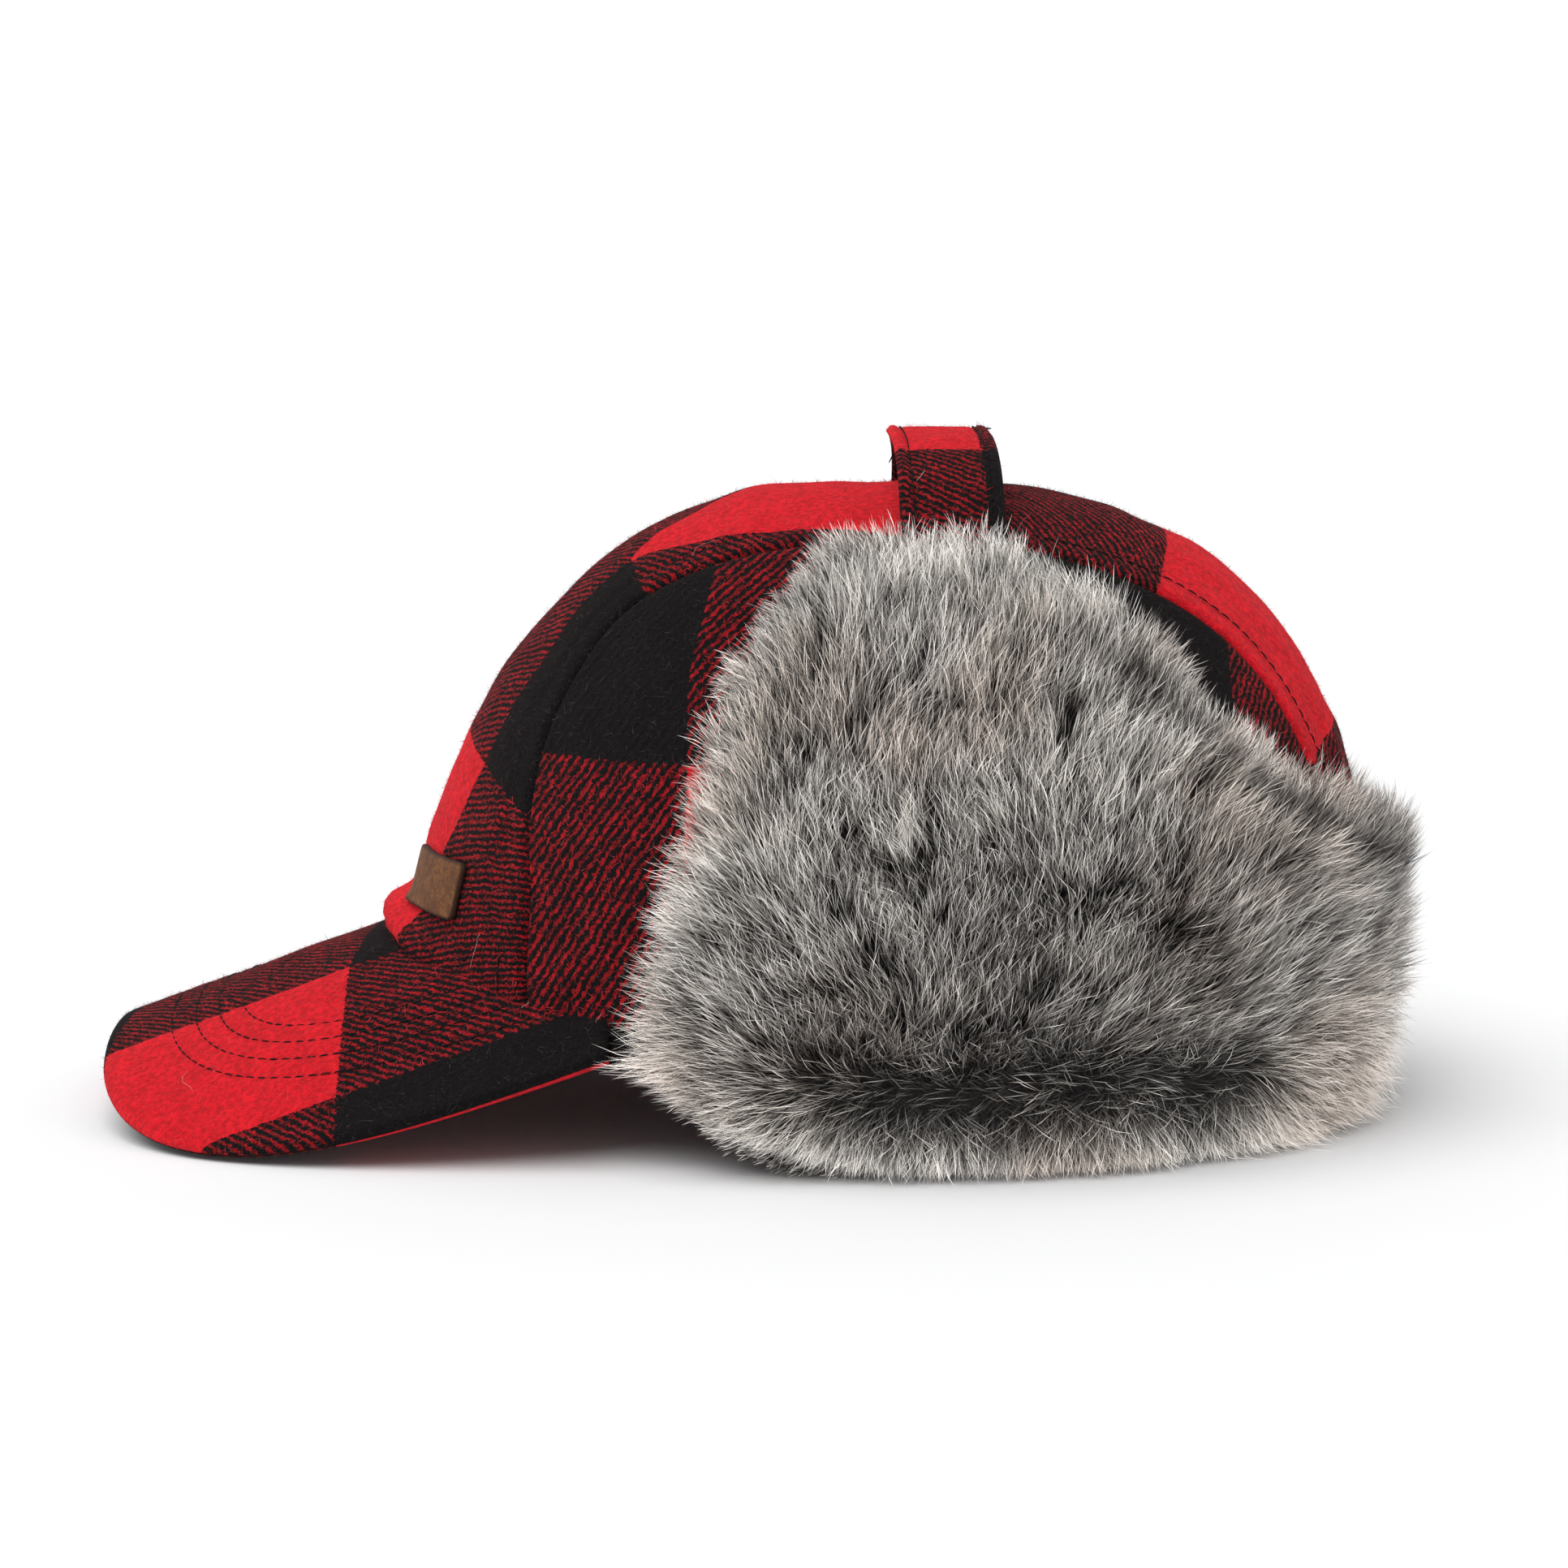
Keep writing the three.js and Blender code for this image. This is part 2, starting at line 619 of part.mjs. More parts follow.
// Centre line of the strap, seen from the front: seated on the crown under each flap, arched between them.
function strapLine() {
  const { middle, length, half } = crownSection(Math.sqrt(CROWN_TOP - STRAP_SEATED_HEIGHTS[0]));
  const angle = Math.asin(((STRAP.y - middle) / length) ** (CROWN_SQUARENESS / 2));
  const lift = STRAP.seat + STRAP.thickness / 2;
  const seated = STRAP_SEATED_HEIGHTS.map((height) => domeAt(angle, height, lift));
  const oneSide = [...seated, ...STRAP_ARCH].map(({ x, z }) => new THREE.Vector3(x, STRAP.y, z));
  const otherSide = oneSide.map((point) => new THREE.Vector3(-point.x, point.y, point.z)).reverse();
  return new THREE.CatmullRomCurve3([...oneSide, ...otherSide], false, 'centripetal');
}

function topStrap(grow) {
  const line = strapLine();
  const edges = [-1, -0.94, 0.94, 1];
  const sheet = (i, j, sign) => {
    const s = i / STRAP.steps;
    const tangent = line.getTangentAt(s);
    const out = new THREE.Vector3(tangent.z, 0, -tangent.x);
    const rounded = Math.abs(edges[j]) === 1 ? STRAP.edge : 1;
    const point = line.getPointAt(s).addScaledVector(out, sign * ((STRAP.thickness / 2) * rounded + grow));
    point.y += edges[j] * (STRAP.width / 2 + grow);
    return point;
  };
  return solidBetween({
    across: STRAP.steps,
    up: edges.length - 1,
    outer: (i, j) => sheet(i, j, 1),
    inner: (i, j) => sheet(i, j, -1),
  });
}

// A small plate with cut corners that follows the front of the crown, trimmed behind to lie against it.
function leatherLabel(crown) {
  const sheet = (i, j, offset) => {
    const v = LABEL_ROWS[j];
    const height = THREE.MathUtils.lerp(LABEL.bottom, LABEL.top, v);
    const inset = v === 0 || v === 1 ? LABEL.corner : 0;
    const x = THREE.MathUtils.lerp(LABEL.left + inset, LABEL.right - inset, i / LABEL_COLUMNS);
    const { half } = crownSection(Math.sqrt(CROWN_TOP - height));
    const angle = -Math.acos((x / half) ** (CROWN_SQUARENESS / 2));
    const bare = domeAt(angle, height, 0);
    return domeAt(angle, height, bulgeAt(bare) + offset);
  };
  const plate = solidBetween({
    across: LABEL_COLUMNS,
    up: LABEL_ROWS.length - 1,
    outer: (i, j) => sheet(i, j, GAP + LABEL.thickness),
    inner: (i, j) => sheet(i, j, -LABEL.sunk),
  });
  const middle = Math.floor(LABEL_COLUMNS / 2);
  const out = sheet(middle, 2, 1).sub(sheet(middle, 2, 0)).multiplyScalar(GAP);
  return plate.subtract(crown.translate(out.toArray()));
}

function meshOf(name, solid, look) {
  const raw = solid.getMesh();
  const geometry = new THREE.BufferGeometry();
  geometry.setAttribute('position', new THREE.Float32BufferAttribute(raw.vertProperties, 3));
  geometry.setIndex([...raw.triVerts]);
  geometry.computeVertexNormals();
  const mesh = new THREE.Mesh(geometry, new THREE.MeshStandardMaterial(look));
  mesh.name = name;
  return mesh;
}

// Moves the finished hat so that the middle of its box stands over the origin.
function centreOverOrigin(group) {
  const box = new THREE.Box3().setFromObject(group);
  const middle = box.getCenter(new THREE.Vector3());
  for (const mesh of group.children) {
    mesh.geometry.translate(-middle.x, -middle.y, -box.min.z);
  }
  return group;
}

function buildHat() {
  const peakRoom = peakPlate(GAP);
  const strapRoom = topStrap(GAP);
  const rootRoom = peakRoom.subtract(filledDome(0));
  const centre = centrePanel().subtract(rootRoom);
  const leftSide = sidePanel().subtract(rootRoom);

  const group = new THREE.Group();
  group.add(meshOf('crown_centre_panel', centre, LOOKS.wool));
  group.add(meshOf('crown_side_panel_left', leftSide, LOOKS.wool));
  group.add(meshOf('crown_side_panel_right', leftSide.mirror([1, 0, 0]), LOOKS.wool));
  group.add(meshOf('peak', peakPlate(0).subtract(filledDome(GAP)), LOOKS.wool));
  group.add(meshOf('earflap_band', earflapBand(peakRoom, strapRoom), LOOKS.fur));
  group.add(meshOf('top_strap', topStrap(0), LOOKS.wool));
  group.add(meshOf('leather_label', leatherLabel(centre), LOOKS.leather));
  return centreOverOrigin(group);
}

export default buildHat();
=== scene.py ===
"""The earflap hat as it looks: check wool, deep faux fur and a leather label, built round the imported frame."""
import math

import bpy
import numpy as np
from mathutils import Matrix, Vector


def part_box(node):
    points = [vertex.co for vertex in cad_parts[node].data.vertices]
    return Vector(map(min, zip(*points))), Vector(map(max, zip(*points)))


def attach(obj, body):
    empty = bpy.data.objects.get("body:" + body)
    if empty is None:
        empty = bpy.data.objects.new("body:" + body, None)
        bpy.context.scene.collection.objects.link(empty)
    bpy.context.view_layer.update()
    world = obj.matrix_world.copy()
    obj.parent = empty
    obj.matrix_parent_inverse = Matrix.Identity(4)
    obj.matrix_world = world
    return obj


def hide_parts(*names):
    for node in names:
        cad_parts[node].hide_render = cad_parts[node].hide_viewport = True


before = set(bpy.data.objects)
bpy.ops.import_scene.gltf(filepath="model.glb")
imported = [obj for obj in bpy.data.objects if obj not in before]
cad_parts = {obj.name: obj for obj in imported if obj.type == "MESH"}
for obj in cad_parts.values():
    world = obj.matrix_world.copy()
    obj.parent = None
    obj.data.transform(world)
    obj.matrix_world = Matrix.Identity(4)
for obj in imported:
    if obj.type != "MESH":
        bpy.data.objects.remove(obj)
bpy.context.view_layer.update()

# All sizes below are in millimetres and degrees, in the frame of the part's source, and the objects are in
# metres. The source moves its finished hat along Y to centre it, which the strap's box shows.
MM = 0.001
DEGREE = math.pi / 180
SEED = 11

# Crown: the outside of the dome at each height.
CROWN_TOP = 132.0
CROWN_SQUARENESS = 2.15
CROWN_WALL = 2.4
CROWN_COLUMNS = ("height", "front", "back", "half")
CROWN_SECTIONS = [
    (132, 24, 24, 0),
    (131.2, 5, 51, 16.5),
    (129, -6, 65, 28),
    (125, -16.5, 79, 39.5),
    (118, -29.5, 94.5, 51.5),
    (110, -39.5, 105, 60),
    (100, -48, 113.3, 67.5),
    (85, -58.5, 121.5, 75.5),
    (70, -66, 127, 80),
    (55, -71.5, 129.5, 82.5),
    (35, -75.5, 129, 83),
    (9, -77.5, 126, 81),
    (-30, -77.5, 123, 79),
]
SIDE_RIM_HEIGHT = 9.0
FRONT_RIM_HEIGHT = 29.0
SEARCH_FARTHEST = 170.0
SEARCH_HALVINGS = 30
BULGE = {"reach": 6.5, "height": 40, "tall": 4, "half": 32}

# Seams between the centre panel and the side panels: turn about a cross axis, half width of the panel.
SEAM_AXIS = {"y": 24.0, "z": 9.0}
SEAM = {
    "turn": [8, 31, 40, 50, 62, 72, 83, 113, 137, 184],
    "half": [60, 56.5, 50, 42.5, 36.5, 38.5, 41.5, 44.5, 42, 46],
}
PANEL_GAP = 0.3
FRONT_SEAM_TURN = 15.0
BACK_SEAM_TURN = 181.0
SEAM_SLANT = 1.12
PUCKER = {"from": 106.0, "full": 122.0, "last": 158.0, "to": 172.0, "deep": 0.9, "wide": 2.6}
PUCKER_PLACES = (5.5, 10.0, 15.0)
FULLNESS = {"turn": [26, 40, 66, 82, 98, 112, 150, 170], "out": [0, 0.5, 0.5, 0, 0, 0.3, 0.2, 0]}
CENTRE_GRID = (56, 170)
SIDE_GRID = (140, 50)

# Check and twill of the cloth. A check's edges are whole numbers of the check coordinate.
CHECK = 53.0
CENTRE_ROWS = {"turn": [-13, 13, 39.5, 64.7, 93, 118.5, 143, 168, 193], "line": [-1, 0, 1, 2, 3, 4, 5, 6, 7]}
ROW_SAG = {"turn": 0.6, "side": 45.0, "from": 36.0, "to": 62.0}
ROW_DRAWN = {"side": 20.0, "most": 28.0, "slope": 0.6, "from": 44.0, "to": 76.0}
CENTRE_LINE = {
    "turn": [0, 20, 28, 34, 40, 49, 56, 65, 71, 77, 84, 93, 113, 190],
    "side": [22, 23, 27.5, 30.5, 31, 28, 25, 22, 28, 34, 39, 45, 52, 56],
}
SIDE_LINE = {
    "height": [0, 35, 60, 82, 94, 102, 108, 117, 131],
    "place": [-14, -15, -17, -16, -16, -14.6, -12.4, -10, -6],
}
SIDE_ROW_HEIGHT = 80.0
SIDE_COLUMNS = {"place": [-159, -106, -53, 0, 53, 117, 170, 223], "column": [-2, -1, 0, 1, 2, 3, 4, 5]}
SIDE_ROWS = {"place": [-106, -53, 0, 75], "row": [-1, 0, 1, 2]}
SIDE_ROW_FALL = {"from": 40.0, "to": 60.0, "fall": 17.0}
TWILL = {"pitch": 1.6, "centre": (2.0, 1.0), "side": (0.75, 1.0), "peak": (1.2, 1.0), "strap": (1.5, 1.0)}
SIDE_TWILL_PITCH = 1.85

# Seam relief and topstitching.
SEAM_RELIEF = {"deep": 0.7, "wide": 0.9, "puff": 0.15, "puff_at": 3.0, "puff_wide": 2.2}
TOPSTITCH = {"inset": 6.2, "deep": 0.35, "wide": 0.8}
STITCH = {"pitch": 2.9, "length": 2.75, "radius": 0.18, "lift": 0.24}
STITCH_SIDES = 6
# Place along the stitch, share of the full radius and lift of each ring of points.
STITCH_RINGS = [
    (-0.5, 0.05, -0.35), (-0.3, 0.8, -0.08), (0.0, 1.0, 0.0), (0.3, 0.8, -0.08), (0.5, 0.05, -0.35),
]

# Peak.
PEAK = {
    "centre_y": -30.0, "reach": 110.2, "half": 77.5, "squareness": 3.3,
    "ridge_height": 36.5, "ridge_y": -81.0, "slope": 0.357, "arch": 0.005,
    "thickness": 3.6, "round_from": 0.955, "edge": 0.12, "root_depth": 5.0, "end_turn": 88.0,
}
PEAK_GRID = (120, 46)
PEAK_CHECK = {"side_line": 24.0, "side_pitch": 46.0, "slant": 0.12}
PEAK_ROWS = {"place": [-190, -138.5, -87, -28, 30], "line": [-1, 0, 1, 2, 3]}
# Distance in from the peak's edge and squareness of each row of stitches.
PEAK_STITCHES = [(14.5, 3.2), (19.7, 3.4), (24.6, 3.6), (29.5, 3.8)]

# Earflap band.
BAND_FRONT = -23.0
BAND_BACK = 90.0
BAND_CORNER = {"angle": -4.0, "rise": 17.0}
BAND = {"gap": 0.7, "tip_gap": 3.4, "tip_from": 84.0, "tip_full": 97.0, "backing": 1.7}
BACKING_GRID = (190, 34)
ROLL = {"reach": 1.6, "height": 10.0, "tall": 9.0}
CREASE = {"height": 21.5, "tall": 5.5, "deep": 1.5, "fade_from": 34.0, "fade_to": 56.0}

# Fur: how the hair lies. Lean is 0 for up, positive to the back. Counts are for one side of the hat.
FUR_KINDS = {
    "under": {"count": 62000, "length": 10.5, "width": (0.1, 0.17), "tone": -0.07,
              "stations": (0.0, 0.6, 1.0)},
    "guard": {"count": 32000, "length": 14.5, "width": (0.11, 0.19), "tone": 0.08,
              "stations": (0.0, 0.4, 0.72, 1.0)},
}
COMB_UPPER = {"angle": [-23, -16, 0, 30, 50, 72, 90], "lean": [-58, -32, -8, 16, 32, 26, 0]}
COMB_FRONT = {"angle": [-23, -16, 0, 20], "lean": [-104, -122, -156, -176]}
COMB_REAR = {"angle": [20, 35, 50, 72, 90], "lean": [178, 166, 142, 138, 180]}
COMB_TURN = 20
LEAN = {"drift": 18, "tuft": 34, "small_tuft": 24, "loose": 13, "parted": 34, "turning": 45}
PARTING = {
    "angle": [-23, -12, 0, 34, 50, 90],
    "height": [30, 23, 18, 17.5, 23, 27],
    "width": [17, 10, 2, 2, 13, 20],
}
ROOT_TOP = {
    "angle": [-23, -21.5, -18, -13.5, -4, 8, 17.5, 26, 28, 30.5, 34, 38, 44, 53, 64, 73, 81.5, 90],
    "height": [94, 102, 110.5, 115, 115.5, 114, 108.5, 101, 97, 90.5, 85, 80.5, 74.5, 67, 62, 58.5, 55, 52.5],
}
FAR_DROP = 4.0
EDGE_DENSITY = 1.3
FUR_LIFT = {"root": 74.0, "edge_tip": 6.0, "inner_tip": 34.0, "spread": 10.0}
EDGE_REACH = 14.0
EDGE_GROWTH = {
    "angle": [-23, -10, 0, 12, 22, 34, 46, 54, 80, 90],
    "growth": [0.8, 0.78, 0.8, 0.85, 0.8, 0.7, 0.75, 0.95, 1.0, 0.85],
}
FRONT_GROWTH = {"height": [20, 30, 57, 76, 95, 104], "growth": [1.25, 1.2, 0.8, 0.76, 0.58, 0.55]}
# In TONE, parted is painted shade on hair in the parting along the crease, and fringe is painted light on hair
# below the crease.
TONE = {
    "middle": 0.47, "drift": 0.09, "tuft": 0.16, "small_tuft": 0.2,
    "loose": 0.24, "parted": -0.17, "fringe_painted_light": 0.27,
}
# Painted light: hair towards the front of the band and higher up is made paler, and hair towards the back
# darker, as if lit from the front left.
FUR_PAINTED_LIGHT = {"angle": [-23, 0, 30, 60, 90], "tone": [0.12, 0.09, 0.02, -0.05, -0.03]}
RIM_SHADOW = {"below": 3.5, "wide": 2.3, "tone": 0.5}
TUFT_SIZES = (9.0, 2.5)
TUFT_PULLS = (0.2, 0.5)
FUZZ_COUNT = 60000
LINT_COUNT = 36
BEND_STEPS = 12
LOWEST_HAIR = {
    "y": [-31, -24, -15.6, -11.6, -8, 2.9, 10.8, 27, 43],
    "height": [21, 16, 12.5, 10, 8, 4.5, 2.8, 1.2, 0.4],
}

# Strap.
STRAP = {"y": 38.2, "width": 21.5, "thickness": 2.0, "seat": 0.45, "far_back": 3.6}
STRAP_HALF = STRAP["width"] / 2
STRAP_SEATED_HEIGHTS = [101, 107, 113, 118]
STRAP_ARCH = [(44.5, 127.5), (36, 135.2), (23, 140.5), (8, 142.4)]
STRAP_GRID = (150, 22)
STRAP_CHECK = {"half": 27.0, "edge_strip": 3.6}
STRAP_STITCH_INSET = 2.9

# Leather label.
LABEL = {"left": 12, "right": 40, "bottom": 44, "top": 56, "thickness": 1.2, "corner": 1.7, "bevel": 0.45}
LABEL_GRID = (44, 22)

# Camera: the photograph's view, with the image taken to be square.
CAMERA = {"azimuth": 88.0, "elevation": 8.0, "distance": 850.0, "lens": 90.28, "sensor": 36.0}
CAMERA_TARGET = (0.0, 5.4, 66.8)
WORLD = {"horizon": 1.05, "sky": 0.5, "dimmer_near": 0.55}
SUN = {"azimuth": 44.0, "elevation": 66.0, "width": 60.0, "energy": 2.05}

strap_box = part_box("top_strap")
SHIFT_Y = (strap_box[0].y + strap_box[1].y) / 2 / MM - STRAP["y"]


def rounding(from_edge, radius, least=0.0):
    """The height of a rounded edge, from 0 at the edge to 1 at a radius from it."""
    return np.sqrt(np.clip(1 - (1 - np.clip(from_edge / radius, 0, 1)) ** 2, least, 1))


def smooth(value, low, high):
    """0 below low, 1 above high and a smooth rise between them."""
    s = np.clip((value - low) / (high - low), 0, 1)
    return s * s * (3 - 2 * s)


def mix(a, b, share):
    return a + (b - a) * share


def hump(distance, wide):
    return np.exp(-((distance / wide) ** 2))


def groove(distance, deep, wide):
    return -deep * hump(distance, wide)


def look_up(table, key, column=1):
    """Reads a column of a table in straight lines between its rows. The first column is the key."""
    columns = list(table.values())
    return np.interp(key, columns[0], columns[column])


def run_along(points, axis=0):
    """Distance travelled along one axis of a grid of points."""
    steps = np.linalg.norm(np.diff(points, axis=axis), axis=-1)
    return np.insert(np.cumsum(steps, axis=axis), 0, 0.0, axis=axis)


def cell_areas(grid):
    cross = np.cross(grid[1:, :-1] - grid[:-1, :-1], grid[:-1, 1:] - grid[:-1, :-1])
    return np.linalg.norm(cross, axis=-1)


def in_cell(grid, i, j, fi, fj):
    return mix(mix(grid[i, j], grid[i + 1, j], fi), mix(grid[i, j + 1], grid[i + 1, j + 1], fi), fj)


def mirrored(points, mirror):
    return points * np.array([-1.0 if mirror else 1.0, 1.0, 1.0])


def read_table(keys, values, key):
    """Reads a table between its rows, along a smooth curve that never overshoots them."""
    keys = np.asarray(keys, float)
    values = np.asarray(values, float)
    at = np.clip(key, keys[0], keys[-1])
    low = np.clip(np.searchsorted(keys, at) - 1, 0, len(keys) - 2)
    slope = np.diff(values) / np.diff(keys)
    before = np.insert(slope, 0, slope[0])
    after = np.append(slope, slope[-1])
    together = before * after
    tangent = np.where(together > 0, 2 * together / np.where(together > 0, before + after, 1.0), 0.0)
    step = np.diff(keys)[low]
    s = (at - keys[low]) / step
    bend = s * (1 - s) * step * ((1 - s) * tangent[low] - s * tangent[low + 1])
    return mix(values[low], values[low + 1], s * s * (3 - 2 * s)) + bend


def waves(points, size, seed, count=8):
    """Repeatable smooth noise of about -1 to 1, with features about this many millimetres wide."""
    random = np.random.default_rng(seed)
    total = 0.0
    for _ in range(count):
        direction = unit(random.normal(size=3))
        turns = 2 * math.pi / (size * random.uniform(1.2, 2.6))
        total = total + np.sin(points @ direction * turns + random.uniform(0, 2 * math.pi))
    return total / math.sqrt(count)


def cell_number(i, j, seed):
    value = np.sin(i * 127.1 + j * 311.7 + seed * 74.7) * 43758.5453
    return value - np.floor(value)


def unit(vectors):
    return vectors / np.maximum(np.linalg.norm(vectors, axis=-1, keepdims=True), 1e-9)


def signed_power(value, power):
    return np.sign(value) * np.abs(value) ** power


CROWN = {name: np.array([row[k] for row in CROWN_SECTIONS], float) for k, name in enumerate(CROWN_COLUMNS)}
CROWN["depth"] = np.sqrt(CROWN_TOP - CROWN["height"])


def crown_section(depth):
    front, back, half = (read_table(CROWN["depth"], CROWN[name], depth) for name in CROWN_COLUMNS[1:])
    return (front + back) / 2, (back - front) / 2, half


def depth_at(height):
    return np.sqrt(np.maximum(CROWN_TOP - height, 0))


def dome_point(angle, depth):
    """A point of the plain dome. The angle is 0 at the wearer's left and a quarter turn at the back."""
    middle, length, half = crown_section(depth)
    power = 2 / CROWN_SQUARENESS
    x = half * signed_power(np.cos(angle), power)
    y = middle + length * signed_power(np.sin(angle), power)
    return np.stack([x, y, CROWN_TOP - depth * depth + 0 * x], -1)


def dome_normal(angle, depth):
    small = 0.02
    around = dome_point(angle + small, depth) - dome_point(angle - small, depth)
    down = dome_point(angle, depth + small) - dome_point(angle, np.maximum(depth - small, 0))
    return np.where(np.asarray(depth < small)[..., None], [0.0, 0.0, 1.0], unit(np.cross(down, around)))


def dome_at(angle, height, offset):
    depth = depth_at(height)
    return dome_point(angle, depth) + dome_normal(angle, depth) * np.asarray(offset)[..., None]


def place_on_dome(point):
    depth = depth_at(point[..., 2])
    middle, length, half = crown_section(depth)
    power = CROWN_SQUARENESS / 2
    along = signed_power((point[..., 1] - middle) / length, power)
    across = signed_power(point[..., 0] / half, power)
    return np.arctan2(along, across), depth


def dome_measure(point):
    """Less than 1 inside the dome, more than 1 outside it."""
    middle, length, half = crown_section(depth_at(point[..., 2]))
    across = np.abs(point[..., 0] / np.maximum(half, 1e-6)) ** CROWN_SQUARENESS
    along = np.abs((point[..., 1] - middle) / np.maximum(length, 1e-6)) ** CROWN_SQUARENESS
    return np.where(point[..., 2] >= CROWN_TOP, 2.0, across + along)


def leave_dome(ray, shape):
    """The radius at which rays leave the dome: ray gives a point for each radius."""
    near = np.zeros(shape)
    far = np.full(shape, SEARCH_FARTHEST)
    for _ in range(SEARCH_HALVINGS):
        radius = (near + far) / 2
        inside = dome_measure(ray(radius)) < 1
        near = np.where(inside, radius, near)
        far = np.where(inside, far, radius)
    return near


def across_point(turn, x):
    """A point of the dome in the plane at this turn about the seam axis, this far to the side."""
    turn, x = np.broadcast_arrays(np.asarray(turn, float), np.asarray(x, float))

    def ray(radius):
        y = SEAM_AXIS["y"] - radius * np.cos(turn * DEGREE)
        z = SEAM_AXIS["z"] + radius * np.sin(turn * DEGREE)
        return np.stack([x, y, z], -1)

    return ray(leave_dome(ray, turn.shape))


def rim_height(angle):
    return mix(SIDE_RIM_HEIGHT, FRONT_RIM_HEIGHT, smooth(-np.sin(angle), 0.15, 0.85))


def rim_turn(x, end):
    """The turn at which the crown reaches its rim, this far to the side, at the front (-1) or the back (1)."""
    turn = np.full(np.shape(x), 12.0 if end < 0 else 181.0)
    for _ in range(12):
        point = across_point(turn, x)
        rim = rim_height(place_on_dome(point)[0])
        turn = turn + end * (point[..., 2] - rim) * 0.5
    return turn


def seam_half(turn):
    return read_table(*SEAM.values(), turn)


def bulge_at(point):
    up = (point[..., 2] + PEAK["arch"] * point[..., 0] ** 2 - BULGE["height"]) / BULGE["tall"]
    side = point[..., 0] / BULGE["half"]
    return np.where(point[..., 1] > 0, 0.0, BULGE["reach"] * np.exp(-up * up - side ** 4))


def seam_relief(distance):
    """The cloth dips into a seam and puffs beside it."""
    puff = hump(distance - SEAM_RELIEF["puff_at"], SEAM_RELIEF["puff_wide"])
    return SEAM_RELIEF["puff"] * puff - SEAM_RELIEF["deep"] * hump(distance, SEAM_RELIEF["wide"])


def build_mesh(name, points, corners, sizes, layers, material):
    """An object from points in millimetres, the corners of its faces, and a UV pair for each corner."""
    mesh = bpy.data.meshes.new(name)
    placed = (np.asarray(points, float) + np.array([0.0, SHIFT_Y, 0.0])) * MM
    mesh.vertices.add(len(placed))
    mesh.vertices.foreach_set("co", placed.astype(np.float32).ravel())
    mesh.loops.add(len(corners))
    mesh.loops.foreach_set("vertex_index", np.asarray(corners, np.int32))
    mesh.polygons.add(len(sizes))
    starts = np.concatenate([[0], np.cumsum(sizes)[:-1]])
    mesh.polygons.foreach_set("loop_start", starts.astype(np.int32))
    mesh.polygons.foreach_set("use_smooth", np.ones(len(sizes), bool))
    for layer, pairs in layers.items():
        mesh.uv_layers.new(name=layer).data.foreach_set("uv", np.asarray(pairs, np.float32).ravel())
    mesh.update(calc_edges=True)
    mesh.validate()
    made = bpy.data.objects.new(name, mesh)
    bpy.context.scene.collection.objects.link(made)
    mesh.materials.append(material)
    return made


def grid_quads(columns, rows, first=0):
    at = first + np.arange(columns * rows).reshape(columns, rows)
    quads = [at[:-1, :-1], at[1:, :-1], at[1:, 1:], at[:-1, 1:]]
    return np.stack([q.ravel() for q in quads], -1)


def shell(name, outer, inner, layers, material, inner_layers=None):
    """A closed sheet between two grids of points of the same size."""
    columns, rows = outer.shape[:2]
    count = columns * rows
    at = np.arange(count).reshape(columns, rows)
    front = grid_quads(columns, rows)
    back = grid_quads(columns, rows, count)[:, ::-1]
    rim = np.concatenate([at[:-1, 0], at[-1, :-1], at[:0:-1, -1], at[0, :0:-1]])
    after = np.roll(rim, -1)
    edge = np.stack([rim, rim + count, after + count, after], -1)
    quads = np.concatenate([front, back, edge])
    end = rim // rows == after // rows
    edge[end, 1] = rim[end]
    edge[end, 2] = after[end]
    looks = np.concatenate([front, back, edge])
    points = np.concatenate([outer.reshape(-1, 3), inner.reshape(-1, 3)])
    a, b, c, d = (points[quads[:, k]] for k in range(4))
    if (a * np.cross(b, c)).sum() + (a * np.cross(c, d)).sum() < 0:
        quads = quads[:, ::-1]
        looks = looks[:, ::-1]
    corner_layers = {}
    for layer, pairs in layers.items():
        both = np.concatenate([pairs.reshape(-1, 2), (inner_layers or layers)[layer].reshape(-1, 2)])
        corner_layers[layer] = both[looks.ravel()]
    return build_mesh(name, points, quads.ravel(), np.full(len(quads), 4), corner_layers, material)


# The outer grid of each piece of wool and its check, for the fuzz and lint that lie on it.
cloth_grids = []


def wool_shell(name, outer, inner, layers, material, inner_layers=None):
    cloth_grids.append((outer, layers["check"]))
    return shell(name, outer, inner, layers, material, inner_layers)


def cloth_layers(columns, rows, direction, pitch=TWILL["pitch"], weave=None):
    """UV layers for the cloth material: check coordinates, and the twill's phase and run along its lines."""
    x, y = (value * CHECK for value in weave or (columns, rows))
    length = math.hypot(*direction)
    across = (x * direction[1] - y * direction[0]) / length / pitch
    along = (x * direction[0] + y * direction[1]) / length
    return {"check": np.stack([columns, rows], -1), "twill": np.stack([across, along], -1)}


def arc_of(x, radius=80.0):
    return radius * np.arcsin(np.clip(x / radius, -1, 1))


def centre_layers(x, turn):
    """The check follows the lines seen on the hat, and the twill runs on evenly."""
    columns = (arc_of(x) - read_table(*CENTRE_LINE.values(), turn)) / CHECK
    sag = ROW_SAG["turn"] * (x / ROW_SAG["side"]) ** 2 * smooth(turn, ROW_SAG["to"], ROW_SAG["from"])
    drawn = np.clip(ROW_DRAWN["side"] - x, 0, ROW_DRAWN["most"]) * ROW_DRAWN["slope"]
    drawn = drawn * smooth(turn, ROW_DRAWN["from"], ROW_DRAWN["to"]) * smooth(turn, 112, 92)
    lines = look_up(CENTRE_ROWS, turn + sag - drawn)
    weave = (arc_of(x) / CHECK, look_up(CENTRE_ROWS, turn))
    return cloth_layers(columns, lines, TWILL["centre"], weave=weave)


